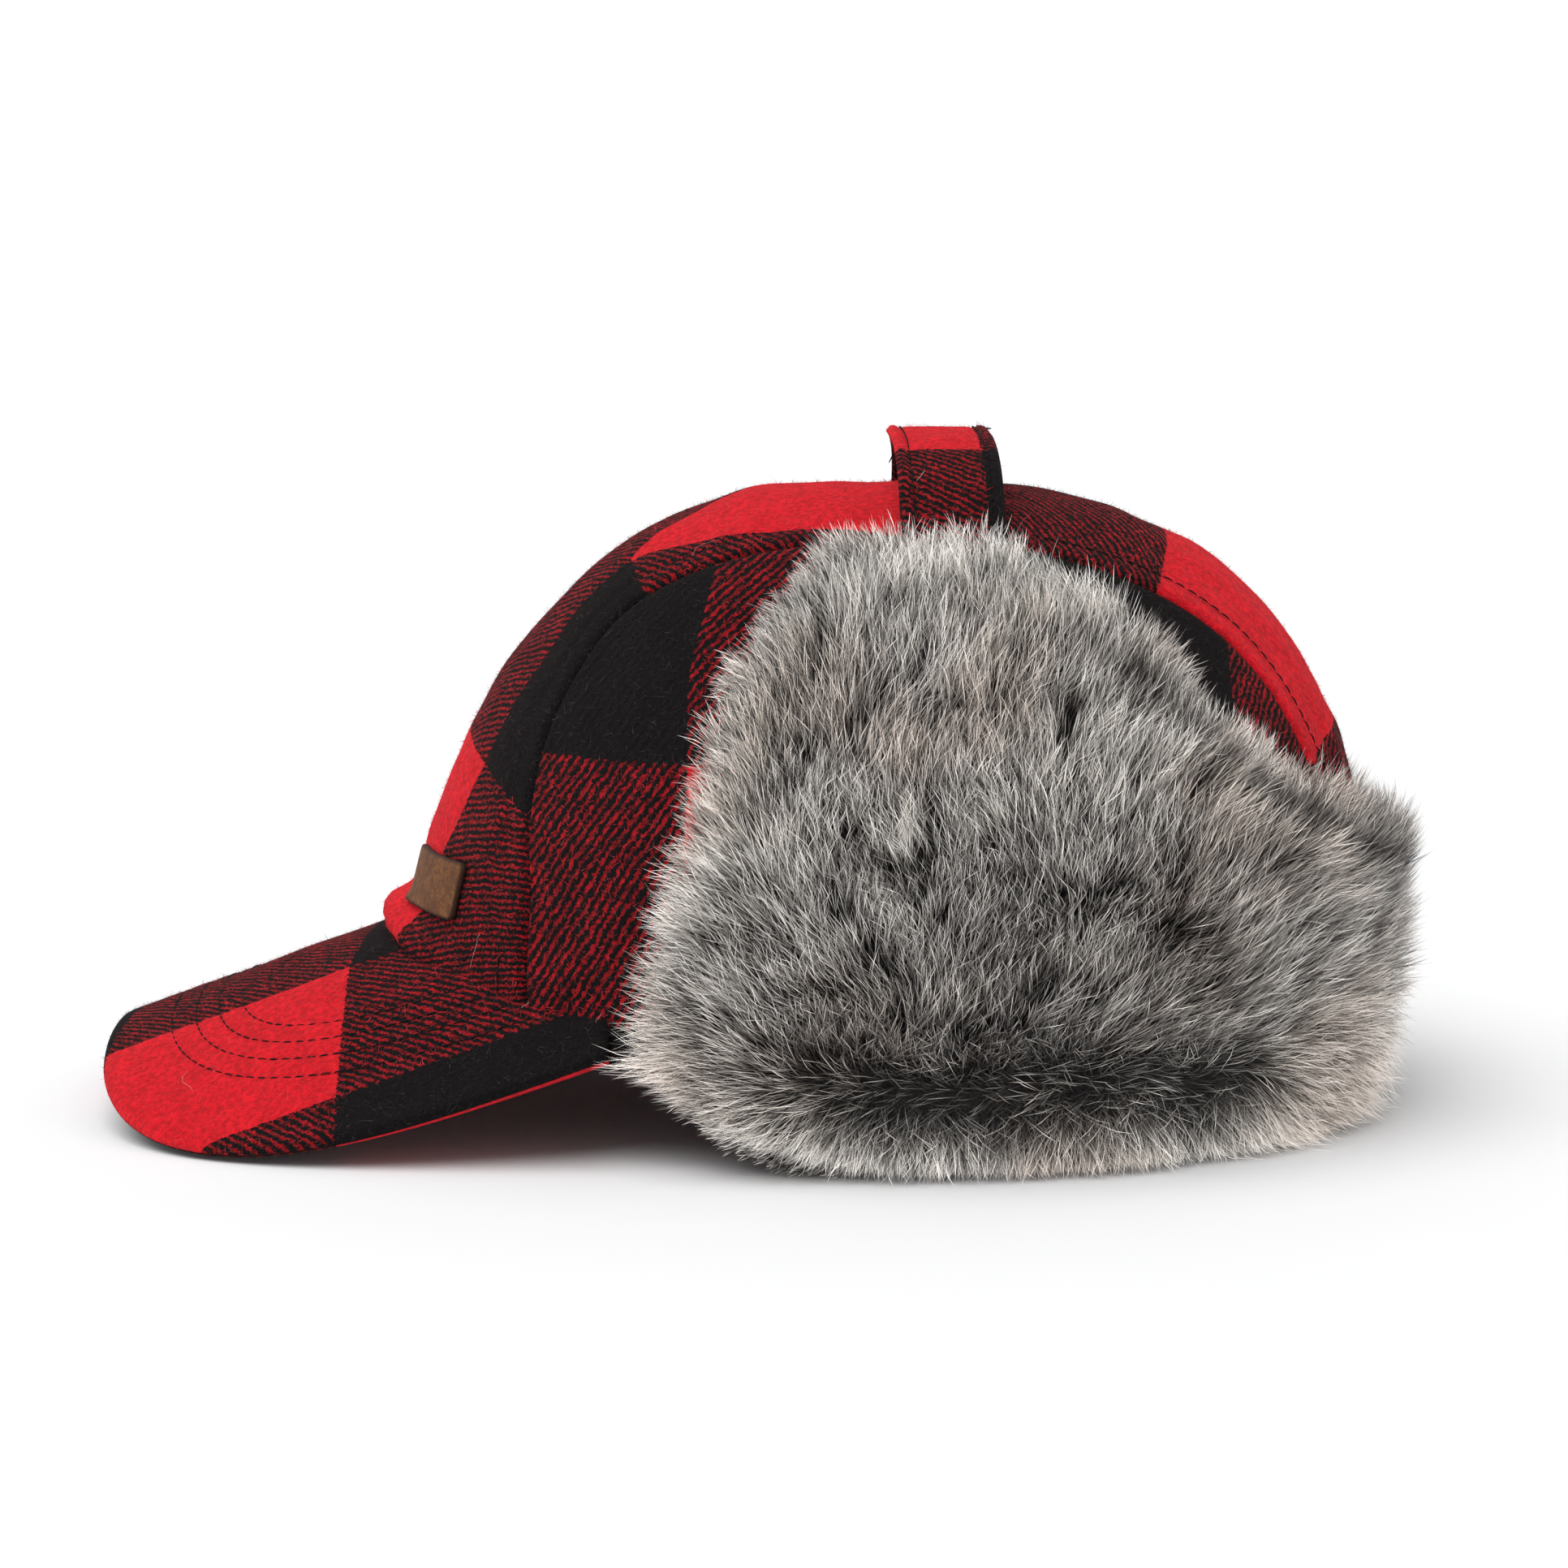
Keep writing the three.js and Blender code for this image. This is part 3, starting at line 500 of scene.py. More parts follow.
def crown_centre(material):
    across, rows = CENTRE_GRID
    side = np.linspace(-1, 1, across)[:, None]
    first = rim_turn(side * seam_half(FRONT_SEAM_TURN), -1)
    last = rim_turn(side * seam_half(BACK_SEAM_TURN), 1)
    turn = mix(first, last, np.linspace(0, 1, rows))
    half = seam_half(turn) - PANEL_GAP / 2
    base = across_point(turn, side * half)
    normal = dome_normal(*place_on_dome(base))
    from_seam = (1 - np.abs(side)) * half * SEAM_SLANT
    offset = bulge_at(base) + seam_relief(from_seam)
    offset += groove(from_seam - TOPSTITCH["inset"], TOPSTITCH["deep"], TOPSTITCH["wide"])
    ripples = 0.35 * waves(base, 22, 3) + 0.18 * waves(base, 8, 4)
    offset += smooth(from_seam, 0, 12) * (ripples + look_up(FULLNESS, turn))
    drawn_in = smooth(turn, PUCKER["from"], PUCKER["full"]) * smooth(turn, PUCKER["to"], PUCKER["last"])
    for place in PUCKER_PLACES:
        wander = from_seam - place - 1.2 * waves(base, 30, 9)
        offset += drawn_in * groove(wander, PUCKER["deep"], PUCKER["wide"])
    outer = base + normal * offset[..., None]
    layers = centre_layers(base[..., 0], turn)
    return wool_shell("crown_centre_cloth", outer, base - normal * CROWN_WALL, layers, material)


def crown_stitch_lines():
    turn = np.linspace(rim_turn(50.0, -1), rim_turn(44.0, 1), 400)
    lines = []
    for sign in (-1, 1):
        line = across_point(turn, sign * (seam_half(turn) - TOPSTITCH["inset"] / SEAM_SLANT))
        normal = dome_normal(*place_on_dome(line))
        lines.append((line + normal * (bulge_at(line) - TOPSTITCH["deep"])[:, None], normal))
    return lines


def seam_line(count):
    """Angle and depth of the seam on the wearer's left, from the front rim over the top to the back rim."""
    first = rim_turn(seam_half(FRONT_SEAM_TURN), -1)
    turn = np.linspace(first, rim_turn(seam_half(BACK_SEAM_TURN), 1), count)
    return place_on_dome(across_point(turn, seam_half(turn) + PANEL_GAP / 2))


def side_fabric(angle, height):
    """Distances on the cloth of a side panel, round and up from its first check lines."""
    heights = np.linspace(0, CROWN_TOP - 1, 60)
    angles = np.linspace(-100, 190, 220) * DEGREE
    ring = dome_point(angles[None, :], depth_at(heights)[:, None])
    arc = run_along(ring, 1)
    front = angles < 90 * DEGREE
    line_y = look_up(SIDE_LINE, heights)
    zero = [np.interp(y, row[front, 1], a[front]) for y, row, a in zip(line_y, ring, arc)]
    row = np.interp(height, heights, np.arange(len(heights)))
    column = np.interp(angle, angles, np.arange(len(angles)))
    i = np.clip(row.astype(int), 0, len(heights) - 2)
    j = np.clip(column.astype(int), 0, len(angles) - 2)
    around = in_cell(arc - np.array(zero)[:, None], i, j, row - i, column - j)
    rise = run_along(dome_point(0.0 * heights, depth_at(heights)))
    return around, np.interp(height, heights, rise) - np.interp(SIDE_ROW_HEIGHT, heights, rise)


def crown_side(name, mirror, material):
    along, down = SIDE_GRID
    seam_angle, seam_depth = seam_line(along)
    rim_angle = np.linspace(seam_angle[0], seam_angle[-1], along)
    share = np.linspace(0, 1, down) ** 1.15
    angle = mix(seam_angle[:, None], rim_angle[:, None], share)
    depth = mix(seam_depth[:, None], depth_at(rim_height(rim_angle))[:, None], share)
    base = dome_point(angle, depth)
    normal = dome_normal(angle, depth)
    from_seam = run_along(base, 1)
    ripples = 0.3 * waves(base, 24, 5 + mirror) + 0.15 * waves(base, 9, 8 + mirror)
    offset = bulge_at(base) + seam_relief(from_seam) + smooth(from_seam, 0, 10) * ripples
    outer = mirrored(base + normal * offset[..., None], mirror)
    inner = mirrored(base - normal * CROWN_WALL, mirror)
    around, up = side_fabric(angle, base[..., 2])
    slant = (TWILL["side"][0] * (-1 if mirror else 1), TWILL["side"][1])
    fall = SIDE_ROW_FALL["fall"] * smooth(angle / DEGREE, SIDE_ROW_FALL["from"], SIDE_ROW_FALL["to"])
    layers = cloth_layers(look_up(SIDE_COLUMNS, around), look_up(SIDE_ROWS, up + fall), slant,
                          SIDE_TWILL_PITCH, (around / CHECK, up / CHECK))
    return wool_shell(name, outer, inner, layers, material)


def peak_height(x, y):
    return PEAK["ridge_height"] + PEAK["slope"] * (y - PEAK["ridge_y"]) - PEAK["arch"] * x * x


def peak_normal(x):
    return unit(np.stack([2 * PEAK["arch"] * x, np.full_like(x, -PEAK["slope"]), np.ones_like(x)], -1))


def peak_outline(turn, inset=0.0, squareness=None):
    power = squareness or PEAK["squareness"]
    side = np.abs(np.sin(turn)) / (PEAK["half"] - inset)
    forward = np.abs(np.cos(turn)) / (PEAK["reach"] - inset)
    return (side ** power + forward ** power) ** (-1 / power)


def peak_point(turn, radius):
    x = radius * np.sin(turn)
    y = PEAK["centre_y"] - radius * np.cos(turn)
    return np.stack([x, y, peak_height(x, y)], -1)


def peak_root(turn):
    def ray(radius):
        point = peak_point(turn, radius)
        point[..., 2] = np.clip(point[..., 2], 0, CROWN_TOP - 1)
        return point

    return leave_dome(ray, turn.shape)


def peak_arc(x):
    """Distance over the arch of the peak from its ridge."""
    slope = 2 * PEAK["arch"] * np.abs(x)
    return np.sign(x) * (slope * np.sqrt(1 + slope ** 2) + np.arcsinh(slope)) / (4 * PEAK["arch"])


def peak_cloth(material):
    columns, rows = PEAK_GRID
    turn = np.linspace(-1, 1, columns)[:, None] * PEAK["end_turn"] * DEGREE
    share = np.linspace(0, 1, rows)[None, :]
    share = mix(share, np.sin(share * math.pi / 2), 0.75)
    touch = peak_root(turn)
    rim = np.maximum(peak_outline(turn), touch + 1)
    radius = mix(touch - PEAK["root_depth"], rim, share)
    bend = np.maximum((share - PEAK["round_from"]) / (1 - PEAK["round_from"]), 0)
    rounded = np.maximum(np.sqrt(1 - bend * bend), PEAK["edge"])
    middle = peak_point(turn, radius)
    x = middle[..., 0]
    normal = peak_normal(x)
    relief = 0.12 * waves(middle, 9, 21) * smooth(rim - radius, 0, 6)
    for inset, squareness in PEAK_STITCHES:
        relief += groove(radius - peak_outline(turn, inset, squareness), 0.3, 0.8)
    half = PEAK["thickness"] / 2
    upper = middle + normal * (half * (rounded - 1) + relief)[..., None]
    lower = middle - normal * (half * (rounded + 1))[..., None]
    side = (peak_arc(x) - PEAK_CHECK["side_line"]) / PEAK_CHECK["side_pitch"]
    slanted = middle[..., 1] - PEAK_CHECK["slant"] * np.maximum(PEAK_CHECK["side_line"] - x, 0)
    along = look_up(PEAK_ROWS, slanted)
    top_layers = cloth_layers(side + 1, along, TWILL["peak"])
    under_layers = cloth_layers(side + 2, along + 1, TWILL["peak"])
    return wool_shell("peak_cloth", upper, lower, top_layers, material, under_layers)


def peak_stitch_lines():
    turn = np.linspace(-1, 1, 700) * PEAK["end_turn"] * DEGREE
    lines = []
    for inset, squareness in PEAK_STITCHES:
        reach = peak_outline(turn, inset, squareness)
        seen = reach > peak_root(turn) + 1.5
        points = peak_point(turn[seen], reach[seen]) - np.array([0, 0, 0.3])
        lines.append((points, peak_normal(points[:, 0])))
    return lines


def curve_through(knots, steps_each):
    steps = np.linalg.norm(np.diff(knots, axis=0), axis=1) ** 0.5
    time = np.cumsum([-steps[0], steps[0], *steps, steps[-1]])
    knots = np.vstack([2 * knots[0] - knots[1], knots, 2 * knots[-1] - knots[-2]])

    def between(t, a, b, start, end):
        return mix(start, end, (t - time[a]) / (time[b] - time[a]))

    line = []
    for k in range(len(knots) - 3):
        for t in np.linspace(time[k + 1], time[k + 2], steps_each, endpoint=False):
            first = [between(t, k + i, k + i + 1, knots[k + i], knots[k + i + 1]) for i in range(3)]
            second = [between(t, k + i, k + i + 2, first[i], first[i + 1]) for i in range(2)]
            line.append(between(t, k + 1, k + 2, *second))
    line.append(knots[-2])
    return np.array(line)


def strap_line(count):
    """Points along the strap from the wearer's left to the right, their outward directions and distances."""
    heights = np.array(STRAP_SEATED_HEIGHTS, float)
    middle, length, _ = crown_section(depth_at(heights[0]))
    angle = math.asin(((STRAP["y"] - middle) / length) ** (CROWN_SQUARENESS / 2))
    seated = dome_at(angle + 0 * heights, heights, STRAP["seat"] + STRAP["thickness"] / 2 + 0 * heights)
    side = [(p[0], p[2]) for p in seated] + STRAP_ARCH
    line = curve_through(np.array(side + [(-x, z) for x, z in side[::-1]], float), 24)
    run = run_along(line)
    even = np.linspace(0, run[-1], count)
    x, z = (np.interp(even, run, line[:, k]) for k in range(2))
    tangent = unit(np.stack([np.gradient(x), np.gradient(z)], -1))
    out = np.stack([tangent[:, 1], np.zeros(count), -tangent[:, 0]], -1)
    y = STRAP["y"] + STRAP["far_back"] * smooth(-x, 0, 45)
    return np.stack([x, y, z], -1), out * np.sign(out[count // 2, 2]), even - run[-1] / 2


def strap_cloth(material):
    columns, rows = STRAP_GRID
    line, out, run = strap_line(columns)
    across = signed_power(np.linspace(-1, 1, rows), 0.85)[None, :] * STRAP_HALF
    from_edge = STRAP_HALF - np.abs(across)
    half = STRAP["thickness"] / 2
    rounded = half * rounding(from_edge, 1.3, 0.02)
    relief = 0.35 * hump(from_edge - 1.3, 1.1) + groove(from_edge - STRAP_STITCH_INSET, 0.45, 0.6)
    base = line[:, None, :] + across[..., None] * np.array([0.0, 1.0, 0.0])
    outer = base + out[:, None, :] * (rounded + relief + 0.12 * waves(base, 7, 31))[..., None]
    inner = base - out[:, None, :] * rounded[..., None]
    lines = 1 + (np.abs(run)[:, None] - STRAP_CHECK["half"]) / CHECK + 0 * across
    strips = 2 + (across - (STRAP_HALF - STRAP_CHECK["edge_strip"])) / CHECK + 0 * run[:, None]
    made = wool_shell("strap_cloth", outer, inner, cloth_layers(strips, lines, TWILL["strap"]), material)
    stitched = []
    for sign in (-1, 1):
        shift = sign * (STRAP_HALF - STRAP_STITCH_INSET)
        stitched.append((line + np.array([0.0, shift, 0.0]) + out * (half - 0.25), out))
    return made, stitched, line, out


def loose_ends(line, out):
    front = line[52] + np.array([0.0, 0.3 - STRAP_HALF, 0.0])
    back = line[70] + np.array([0.0, STRAP_HALF - 1.0, 0.0]) + out[70] * 0.9
    return [(front, (0.35, -0.75, -0.9), 2.6), (back, (0.2, 0.9, 0.35), 1.6)]


def label_leather(material):
    columns, rows = LABEL_GRID
    s = np.linspace(0, 1, columns)[:, None]
    v = np.linspace(0, 1, rows)[None, :]
    s = mix(s, (1 - np.cos(s * math.pi)) / 2, 0.6)
    v = mix(v, (1 - np.cos(v * math.pi)) / 2, 0.6)
    tall = LABEL["top"] - LABEL["bottom"]
    from_edge = np.minimum(v, 1 - v) * tall
    cut = np.clip(LABEL["corner"] - from_edge, 0, LABEL["corner"])
    inset = LABEL["corner"] - np.sqrt(np.maximum(LABEL["corner"] ** 2 - cut ** 2, 0))
    height = mix(LABEL["bottom"], LABEL["top"], v) + 0 * s
    x = mix(LABEL["left"] + inset, LABEL["right"] - inset, s)
    half = crown_section(depth_at(height))[2]
    angle = -np.arccos((x / half) ** (CROWN_SQUARENESS / 2))
    bare = dome_at(angle, height, 0 * height)
    normal = dome_normal(angle, depth_at(height))
    wide = LABEL["right"] - LABEL["left"]
    edge = np.minimum(from_edge, np.minimum(s, 1 - s) * wide)
    bevel = LABEL["bevel"] * (1 - rounding(edge, 0.9))
    low = bulge_at(bare) + PANEL_GAP + 0.15
    outer = bare + normal * (low + LABEL["thickness"] - bevel)[..., None]
    inner = bare + normal * low[..., None]
    pairs = np.stack([s + 0 * v, v + 0 * s], -1)
    return shell("label_leather", outer, inner, {"face": pairs}, material)


def band_foot(angle):
    beyond = np.maximum(BAND_CORNER["angle"] - angle, 0) / (BAND_CORNER["angle"] - BAND_FRONT)
    return BAND_CORNER["rise"] * beyond * beyond


def band_gap(height):
    return mix(BAND["gap"], BAND["tip_gap"], smooth(height, BAND["tip_from"], BAND["tip_full"]))


def root_offset(angle, height):
    """How far the hair's roots stand out from the crown. The crease above the foot fades towards the back."""
    shown = 1 - smooth(angle, CREASE["fade_from"], CREASE["fade_to"])
    roll = ROLL["reach"] * hump(height - ROLL["height"], ROLL["tall"])
    crease = CREASE["deep"] * hump(height - CREASE["height"], CREASE["tall"])
    return band_gap(height) + BAND["backing"] + shown * (roll - crease)


def fur_backing(material):
    columns, rows = BACKING_GRID
    around = np.linspace(BAND_FRONT, 2 * BAND_BACK - BAND_FRONT, columns)[:, None]
    side = np.where(around > BAND_BACK, 2 * BAND_BACK - around, around)
    share = np.linspace(0, 1, rows)[None, :]
    height = mix(np.maximum(band_foot(side), 1.2), look_up(ROOT_TOP, side) + 1.0, share)
    angle = around * DEGREE + 0 * share
    outer = dome_at(angle, height, root_offset(side, height))
    inner = dome_at(angle, height, band_gap(height))
    return shell("fur_backing", outer, inner, {}, material), outer


def nearest_tuft(s, v, size, seed):
    """Offset from each hair to the middle of its tuft, and three numbers that the tuft's hairs share."""
    best = np.full(len(s), np.inf)
    found = np.zeros((len(s), 5))
    for di in (-1, 0, 1):
        for dj in (-1, 0, 1):
            i = np.floor(s / size) + di
            j = np.floor(v / size) + dj
            ds = (i + cell_number(i, j, seed)) * size - s
            dv = (j + cell_number(i, j, seed + 1)) * size - v
            shared = [cell_number(i, j, seed + k) for k in (2, 3, 4)]
            far = ds * ds + dv * dv
            closer = far < best
            best[closer] = far[closer]
            found[closer] = np.stack([ds, dv, *shared], -1)[closer]
    return found[:, 0], found[:, 1], found[:, 2:]


def band_height(angle, share):
    return mix(np.maximum(band_foot(angle), 1.5), look_up(ROOT_TOP, angle), share)


def from_band_edge(angle, height):
    """Distance down from the top edge or back from the front edge, whichever is less."""
    return np.minimum(look_up(ROOT_TOP, angle) - height, (angle - BAND_FRONT) * 1.4)


def root_places(count, random):
    """Angles and heights of roots on one half of the band, closer together near its edges."""
    angles = np.linspace(BAND_FRONT, BAND_BACK, 230)
    shares = np.linspace(0, 1, 61)
    a = angles[:, None] + 0 * shares
    h = band_height(a, shares)
    crowded = 1 + EDGE_DENSITY * (1 - smooth(from_band_edge(a, h)[:-1, :-1], 0, EDGE_REACH))
    chance = (cell_areas(dome_at(a * DEGREE, h, 3.0 + 0 * a)) * crowded).ravel()
    cell = random.choice(len(chance), size=count, p=chance / chance.sum())
    i, j = np.divmod(cell, len(shares) - 1)
    at = angles[i] + random.uniform(size=count) * (angles[1] - angles[0])
    share = shares[j] + random.uniform(size=count) * (shares[1] - shares[0])
    return at, band_height(at, share)


def comb_field(angle, height):
    """The lean of the hair, how far down the parting it lies (0 to 1), and how open the parting is there."""
    lower = np.where(angle < COMB_TURN, look_up(COMB_FRONT, angle), look_up(COMB_REAR, angle))
    middle = look_up(PARTING, angle)
    width = look_up(PARTING, angle, 2)
    below = smooth(height, middle + width, middle - width)
    open_here = hump(height - middle, 4.5) * (1 - smooth(width, 3, 10))
    return mix(look_up(COMB_UPPER, angle), lower, below), below, open_here


def ribbons(name, lines, side, widths, tones, stations, material):
    """Flat tapering strands: lines holds a point for each strand and station, and the last one is the tip."""
    count = len(lines)
    body = len(stations) - 1
    left = lines[:, :body] - side[:, :body] * widths[..., None] / 2
    right = lines[:, :body] + side[:, :body] * widths[..., None] / 2
    points = np.concatenate([left, right, lines[:, -1:]], axis=1).reshape(-1, 3)
    base = np.arange(count)[:, None] * (2 * body + 1)
    corners = [base + np.array([k, body + k, body + k + 1, k + 1]) for k in range(body - 1)]
    corners.append(base + np.array([body - 1, 2 * body - 1, 2 * body]))
    joined = np.concatenate(corners, axis=1)
    sizes = np.tile([4] * (body - 1) + [3], count)
    along = np.array(list(stations[:body]) * 2 + [1.0])
    spread = np.array([-0.004] * body + [0.004] * body + [0.0])
    tones = tones.reshape(count, -1) * np.ones(body + 1)
    u = np.clip(np.concatenate([tones[:, :body], tones], axis=1) + spread, 0.001, 0.999)
    v = np.broadcast_to(mix(0.02, 0.98, along), u.shape)
    pairs = np.stack([u, v], -1).reshape(-1, 2)[joined.ravel()]
    return build_mesh(name, points, joined.ravel(), sizes, {"OFBake": pairs}, material)


class Hair:
    """The hair of one kind on one side of the hat. Its random numbers are drawn in the order of the calls."""

    def __init__(self, kind, mirror):
        self.kind = kind
        self.random = np.random.default_rng([SEED, mirror, len(kind["stations"])])
        self.angle, height = root_places(kind["count"], self.random)
        self.height = height - mirror * FAR_DROP * smooth(height, 90, 110)
        turn = self.angle * DEGREE
        depth = depth_at(self.height)
        self.root = dome_at(turn, self.height, root_offset(self.angle, self.height) - 0.5)
        self.out = dome_normal(turn, depth)
        self.up = unit(dome_point(turn, depth - 0.05) - dome_point(turn, depth))
        self.back = np.cross(self.up, self.out)
        self.tufts = self.nearest_tufts(mirror)
        self.big, self.small = (shared for _, _, shared in self.tufts)
        self.inner = smooth(from_band_edge(self.angle, self.height), 0, EDGE_REACH)

    def nearest_tufts(self, mirror):
        angles = np.linspace(BAND_FRONT - 5, BAND_BACK + 5, 200)
        heights = np.linspace(0, 125, 120)
        ring = dome_point(angles * DEGREE, depth_at(45.0 + 0 * angles))
        side = dome_point(10 * DEGREE + 0 * heights, depth_at(heights))
        s = np.interp(self.angle, angles, run_along(ring))
        v = np.interp(self.height, heights, run_along(side))
        return [nearest_tuft(s, v, size, seed + 7 * mirror) for size, seed in zip(TUFT_SIZES, (40, 60))]

    def loose(self, size=1.0):
        return self.random.normal(size=len(self.angle)) * size

    def evenly(self, low, high):
        return self.random.uniform(low, high, size=len(self.angle))

    def comb(self):
        """The direction in which each hair lies."""
        ragged = self.height + 1.5 * waves(self.root, 18, 70) + self.loose(0.7)
        lean, self.below, self.parted = comb_field(self.angle, ragged)
        lean = lean + LEAN["drift"] * waves(self.root, 26, 71)
        lean = lean + LEAN["tuft"] * (self.big[:, 0] - 0.5) + LEAN["small_tuft"] * (self.small[:, 0] - 0.5)
        turning = self.parted * hump(self.angle - COMB_TURN, 7)
        lean = lean + self.loose(LEAN["loose"] + LEAN["parted"] * self.parted + LEAN["turning"] * turning)
        return self.up * np.cos(lean * DEGREE)[:, None] + self.back * np.sin(lean * DEGREE)[:, None]

    def lengths(self):
        front = smooth(self.angle, -10, -18)
        growth = mix(look_up(EDGE_GROWTH, self.angle), look_up(FRONT_GROWTH, self.height), front)
        length = self.kind["length"] * (0.88 + 0.26 * self.big[:, 1]) * self.evenly(0.84, 1.12)
        return length * mix(growth, 1.0, self.inner) * (1 - 0.32 * self.parted)

    def bends(self):
        """How steeply each hair stands up, step by step from its root to its tip."""
        first = FUR_LIFT["root"] - 22 * self.parted + self.loose(FUR_LIFT["spread"])
        last = mix(FUR_LIFT["edge_tip"], FUR_LIFT["inner_tip"], self.inner) * (1 - 0.6 * self.parted)
        last = last - 8 * self.below + 16 * (self.big[:, 2] - 0.5) + 9 * waves(self.root, 14, 72)
        last = last + self.loose(FUR_LIFT["spread"] * 0.8)
        return mix(first[:, None], last[:, None], np.linspace(0, 1, BEND_STEPS + 1) ** 0.8)[:, 1:] * DEGREE

    def lines(self):
        """A point for each hair and station."""
        comb = self.comb()
        length = self.lengths()[:, None]
        bends = self.bends()
        forward, lifted = (np.insert(np.cumsum(part, axis=1), 0, 0.0, axis=1) / BEND_STEPS * length
                           for part in (np.cos(bends), np.sin(bends)))
        curl = np.cross(comb, self.out) * self.loose(1.5)[:, None]
        pull_s, pull_v = (sum(share * tuft[k] for share, tuft in zip(TUFT_PULLS, self.tufts)) for k in (0, 1))
        pull = self.back * pull_s[:, None] + self.up * pull_v[:, None]
        lines = []
        for t in self.kind["stations"]:
            at = [round(t * BEND_STEPS)]
            point = self.root + comb * forward[:, at] + self.out * lifted[:, at]
            lines.append(point + curl * t * t + pull * t ** 1.2)
        return np.stack(lines, axis=1)

    def cut(self, lines):
        """Shortens hair that would hang below the hat's lowest hair, and lays flat what touches the floor."""
        lowest = look_up(LOWEST_HAIR, lines[:, -1, 1]) + self.loose(0.9)
        falls = np.maximum(lines[:, 0, 2] - lines[:, -1, 2], 0.01)
        kept = np.clip((lines[:, 0, 2] - lowest) / falls, 0.3, 1.0)
        lines = mix(lines[:, :1], lines, kept[:, None, None])
        lines[..., 2] = np.maximum(lines[..., 2], self.evenly(0.2, 1.2)[:, None])
        return lines

    def sides(self, lines):
        tangent = unit(np.gradient(lines, axis=1))
        flat = unit(np.cross(tangent, self.out[:, None, :]))
        roll = self.loose(0.6)[:, None, None]
        return flat * np.cos(roll) + np.cross(tangent, flat) * np.sin(roll)

    def tones(self, lines):
        # Painted light: paler towards the front and top of the band, darker towards the back.
        painted_light = look_up(FUR_PAINTED_LIGHT, self.angle) * smooth(self.height, 15, 70)
        tone = TONE["middle"] + self.kind["tone"] + painted_light + TONE["drift"] * waves(self.root, 34, 73)
        tone = tone + TONE["tuft"] * (self.big[:, 1] - 0.5) + TONE["small_tuft"] * (self.small[:, 2] - 0.5)
        # Painted shade: hair in the parting along the crease is darkened, where the fur folds in.
        tone = tone + self.loose(TONE["loose"]) + TONE["parted"] * self.parted
        # Painted light: hair below the crease is made paler, standing in for light bounced up from the floor.
        tone = tone + TONE["fringe_painted_light"] * self.below * (1 - self.parted)
        # Painted shade: hair tips that end in the groove a little below the band's top edge are darkened to draw
        # the groove.
        rim_line = look_up(ROOT_TOP, self.angle) - RIM_SHADOW["below"] + 1.2 * waves(self.root, 20, 74)
        rim = hump(rim_line[:, None] - lines[..., 2], RIM_SHADOW["wide"]) * smooth(self.angle, 10, 26)[:, None]
        return np.clip(tone, 0.02, 0.98)[:, None] - RIM_SHADOW["tone"] * rim


def fur_strands(name, kind, mirror, material):
    hair = Hair(kind, mirror)
    lines = hair.cut(hair.lines())
    sides = mirrored(hair.sides(lines), mirror)
    widths = hair.evenly(*kind["width"])[:, None] * np.linspace(0.95, 0.7, len(kind["stations"]) - 1)
    return ribbons(name, mirrored(lines, mirror), sides, widths, hair.tones(lines), kind["stations"], material)


def fur_pieces(material):
    return [fur_strands(f"fur_{word}_{name}", kind, mirror, material)
            for mirror, word in enumerate(("left", "right")) for name, kind in FUR_KINDS.items()]


def stitches(name, runs, material):
    """Joined thread stitches along lines: each is a short spindle whose ends dip into the cloth."""
    pitch = STITCH["pitch"]
    share, size, dip = (np.array(values)[:, None, None] for values in zip(*STITCH_RINGS))
    turn = np.arange(STITCH_SIDES)[:, None] * 2 * math.pi / STITCH_SIDES
    spindles = []
    for line, normals in runs:
        run = run_along(line)
        places = np.arange(pitch / 2, run[-1] - pitch / 2, pitch)

        def read(values, ahead=0.0):
            found = [np.interp(places + ahead, run, values[:, k]) for k in range(3)]
            return np.stack(found, -1)[:, None, None]

        normal = unit(read(normals))
        along = unit(read(line, 0.6) - read(line, -0.6))
        beside = unit(np.cross(along, normal))
        centre = read(line) + along * share * STITCH["length"] + normal * (dip + STITCH["lift"])
        spindles.append(centre + (beside * np.cos(turn) + normal * np.sin(turn)) * size * STITCH["radius"])
    points = np.concatenate(spindles)
    count, rings = points.shape[:2]
    at = np.arange(rings * STITCH_SIDES).reshape(rings, STITCH_SIDES)
    after = np.roll(at, -1, axis=1)
    quads = np.stack([at[:-1], after[:-1], after[1:], at[1:]], -1).ravel()
    faces = np.concatenate([quads, at[0, ::-1], at[-1]])
    corners = np.arange(count)[:, None] * at.size + faces
    sizes = np.tile([4] * (quads.size // 4) + [STITCH_SIDES] * 2, count)
    return build_mesh(name, points.reshape(-1, 3), corners.ravel(), sizes, {}, material)


def thread_ends(name, ends, material):
    lines = []
    sides = []
    share = np.linspace(0, 1, 6)
    t = share[:, None]
    for start, direction, length in ends:
        direction = unit(np.array(direction, float))
        beside = unit(np.cross(direction, [0.3, 1.0, 0.2]))
        line = start + direction * length * t + np.array([0.0, 0.0, -0.25]) * length * t * t
        lines += [line, line]
        sides += [[beside] * 6, [unit(np.cross(direction, beside))] * 6]
    widths = np.tile(np.array([0.42, 0.42, 0.4, 0.36, 0.3]), (len(lines), 1))
    return ribbons(name, np.array(lines), np.array(sides), widths, np.full(len(lines), 0.5), share, material)


def cloth_tones(columns, lines):
    """1 where both threads are red, 0 where both are black, and between them where they cross."""
    red_column = np.mod(np.floor(columns), 2) == 1
    red_line = np.mod(np.floor(lines), 2) == 0
    return (red_column.astype(float) + red_line) / 2


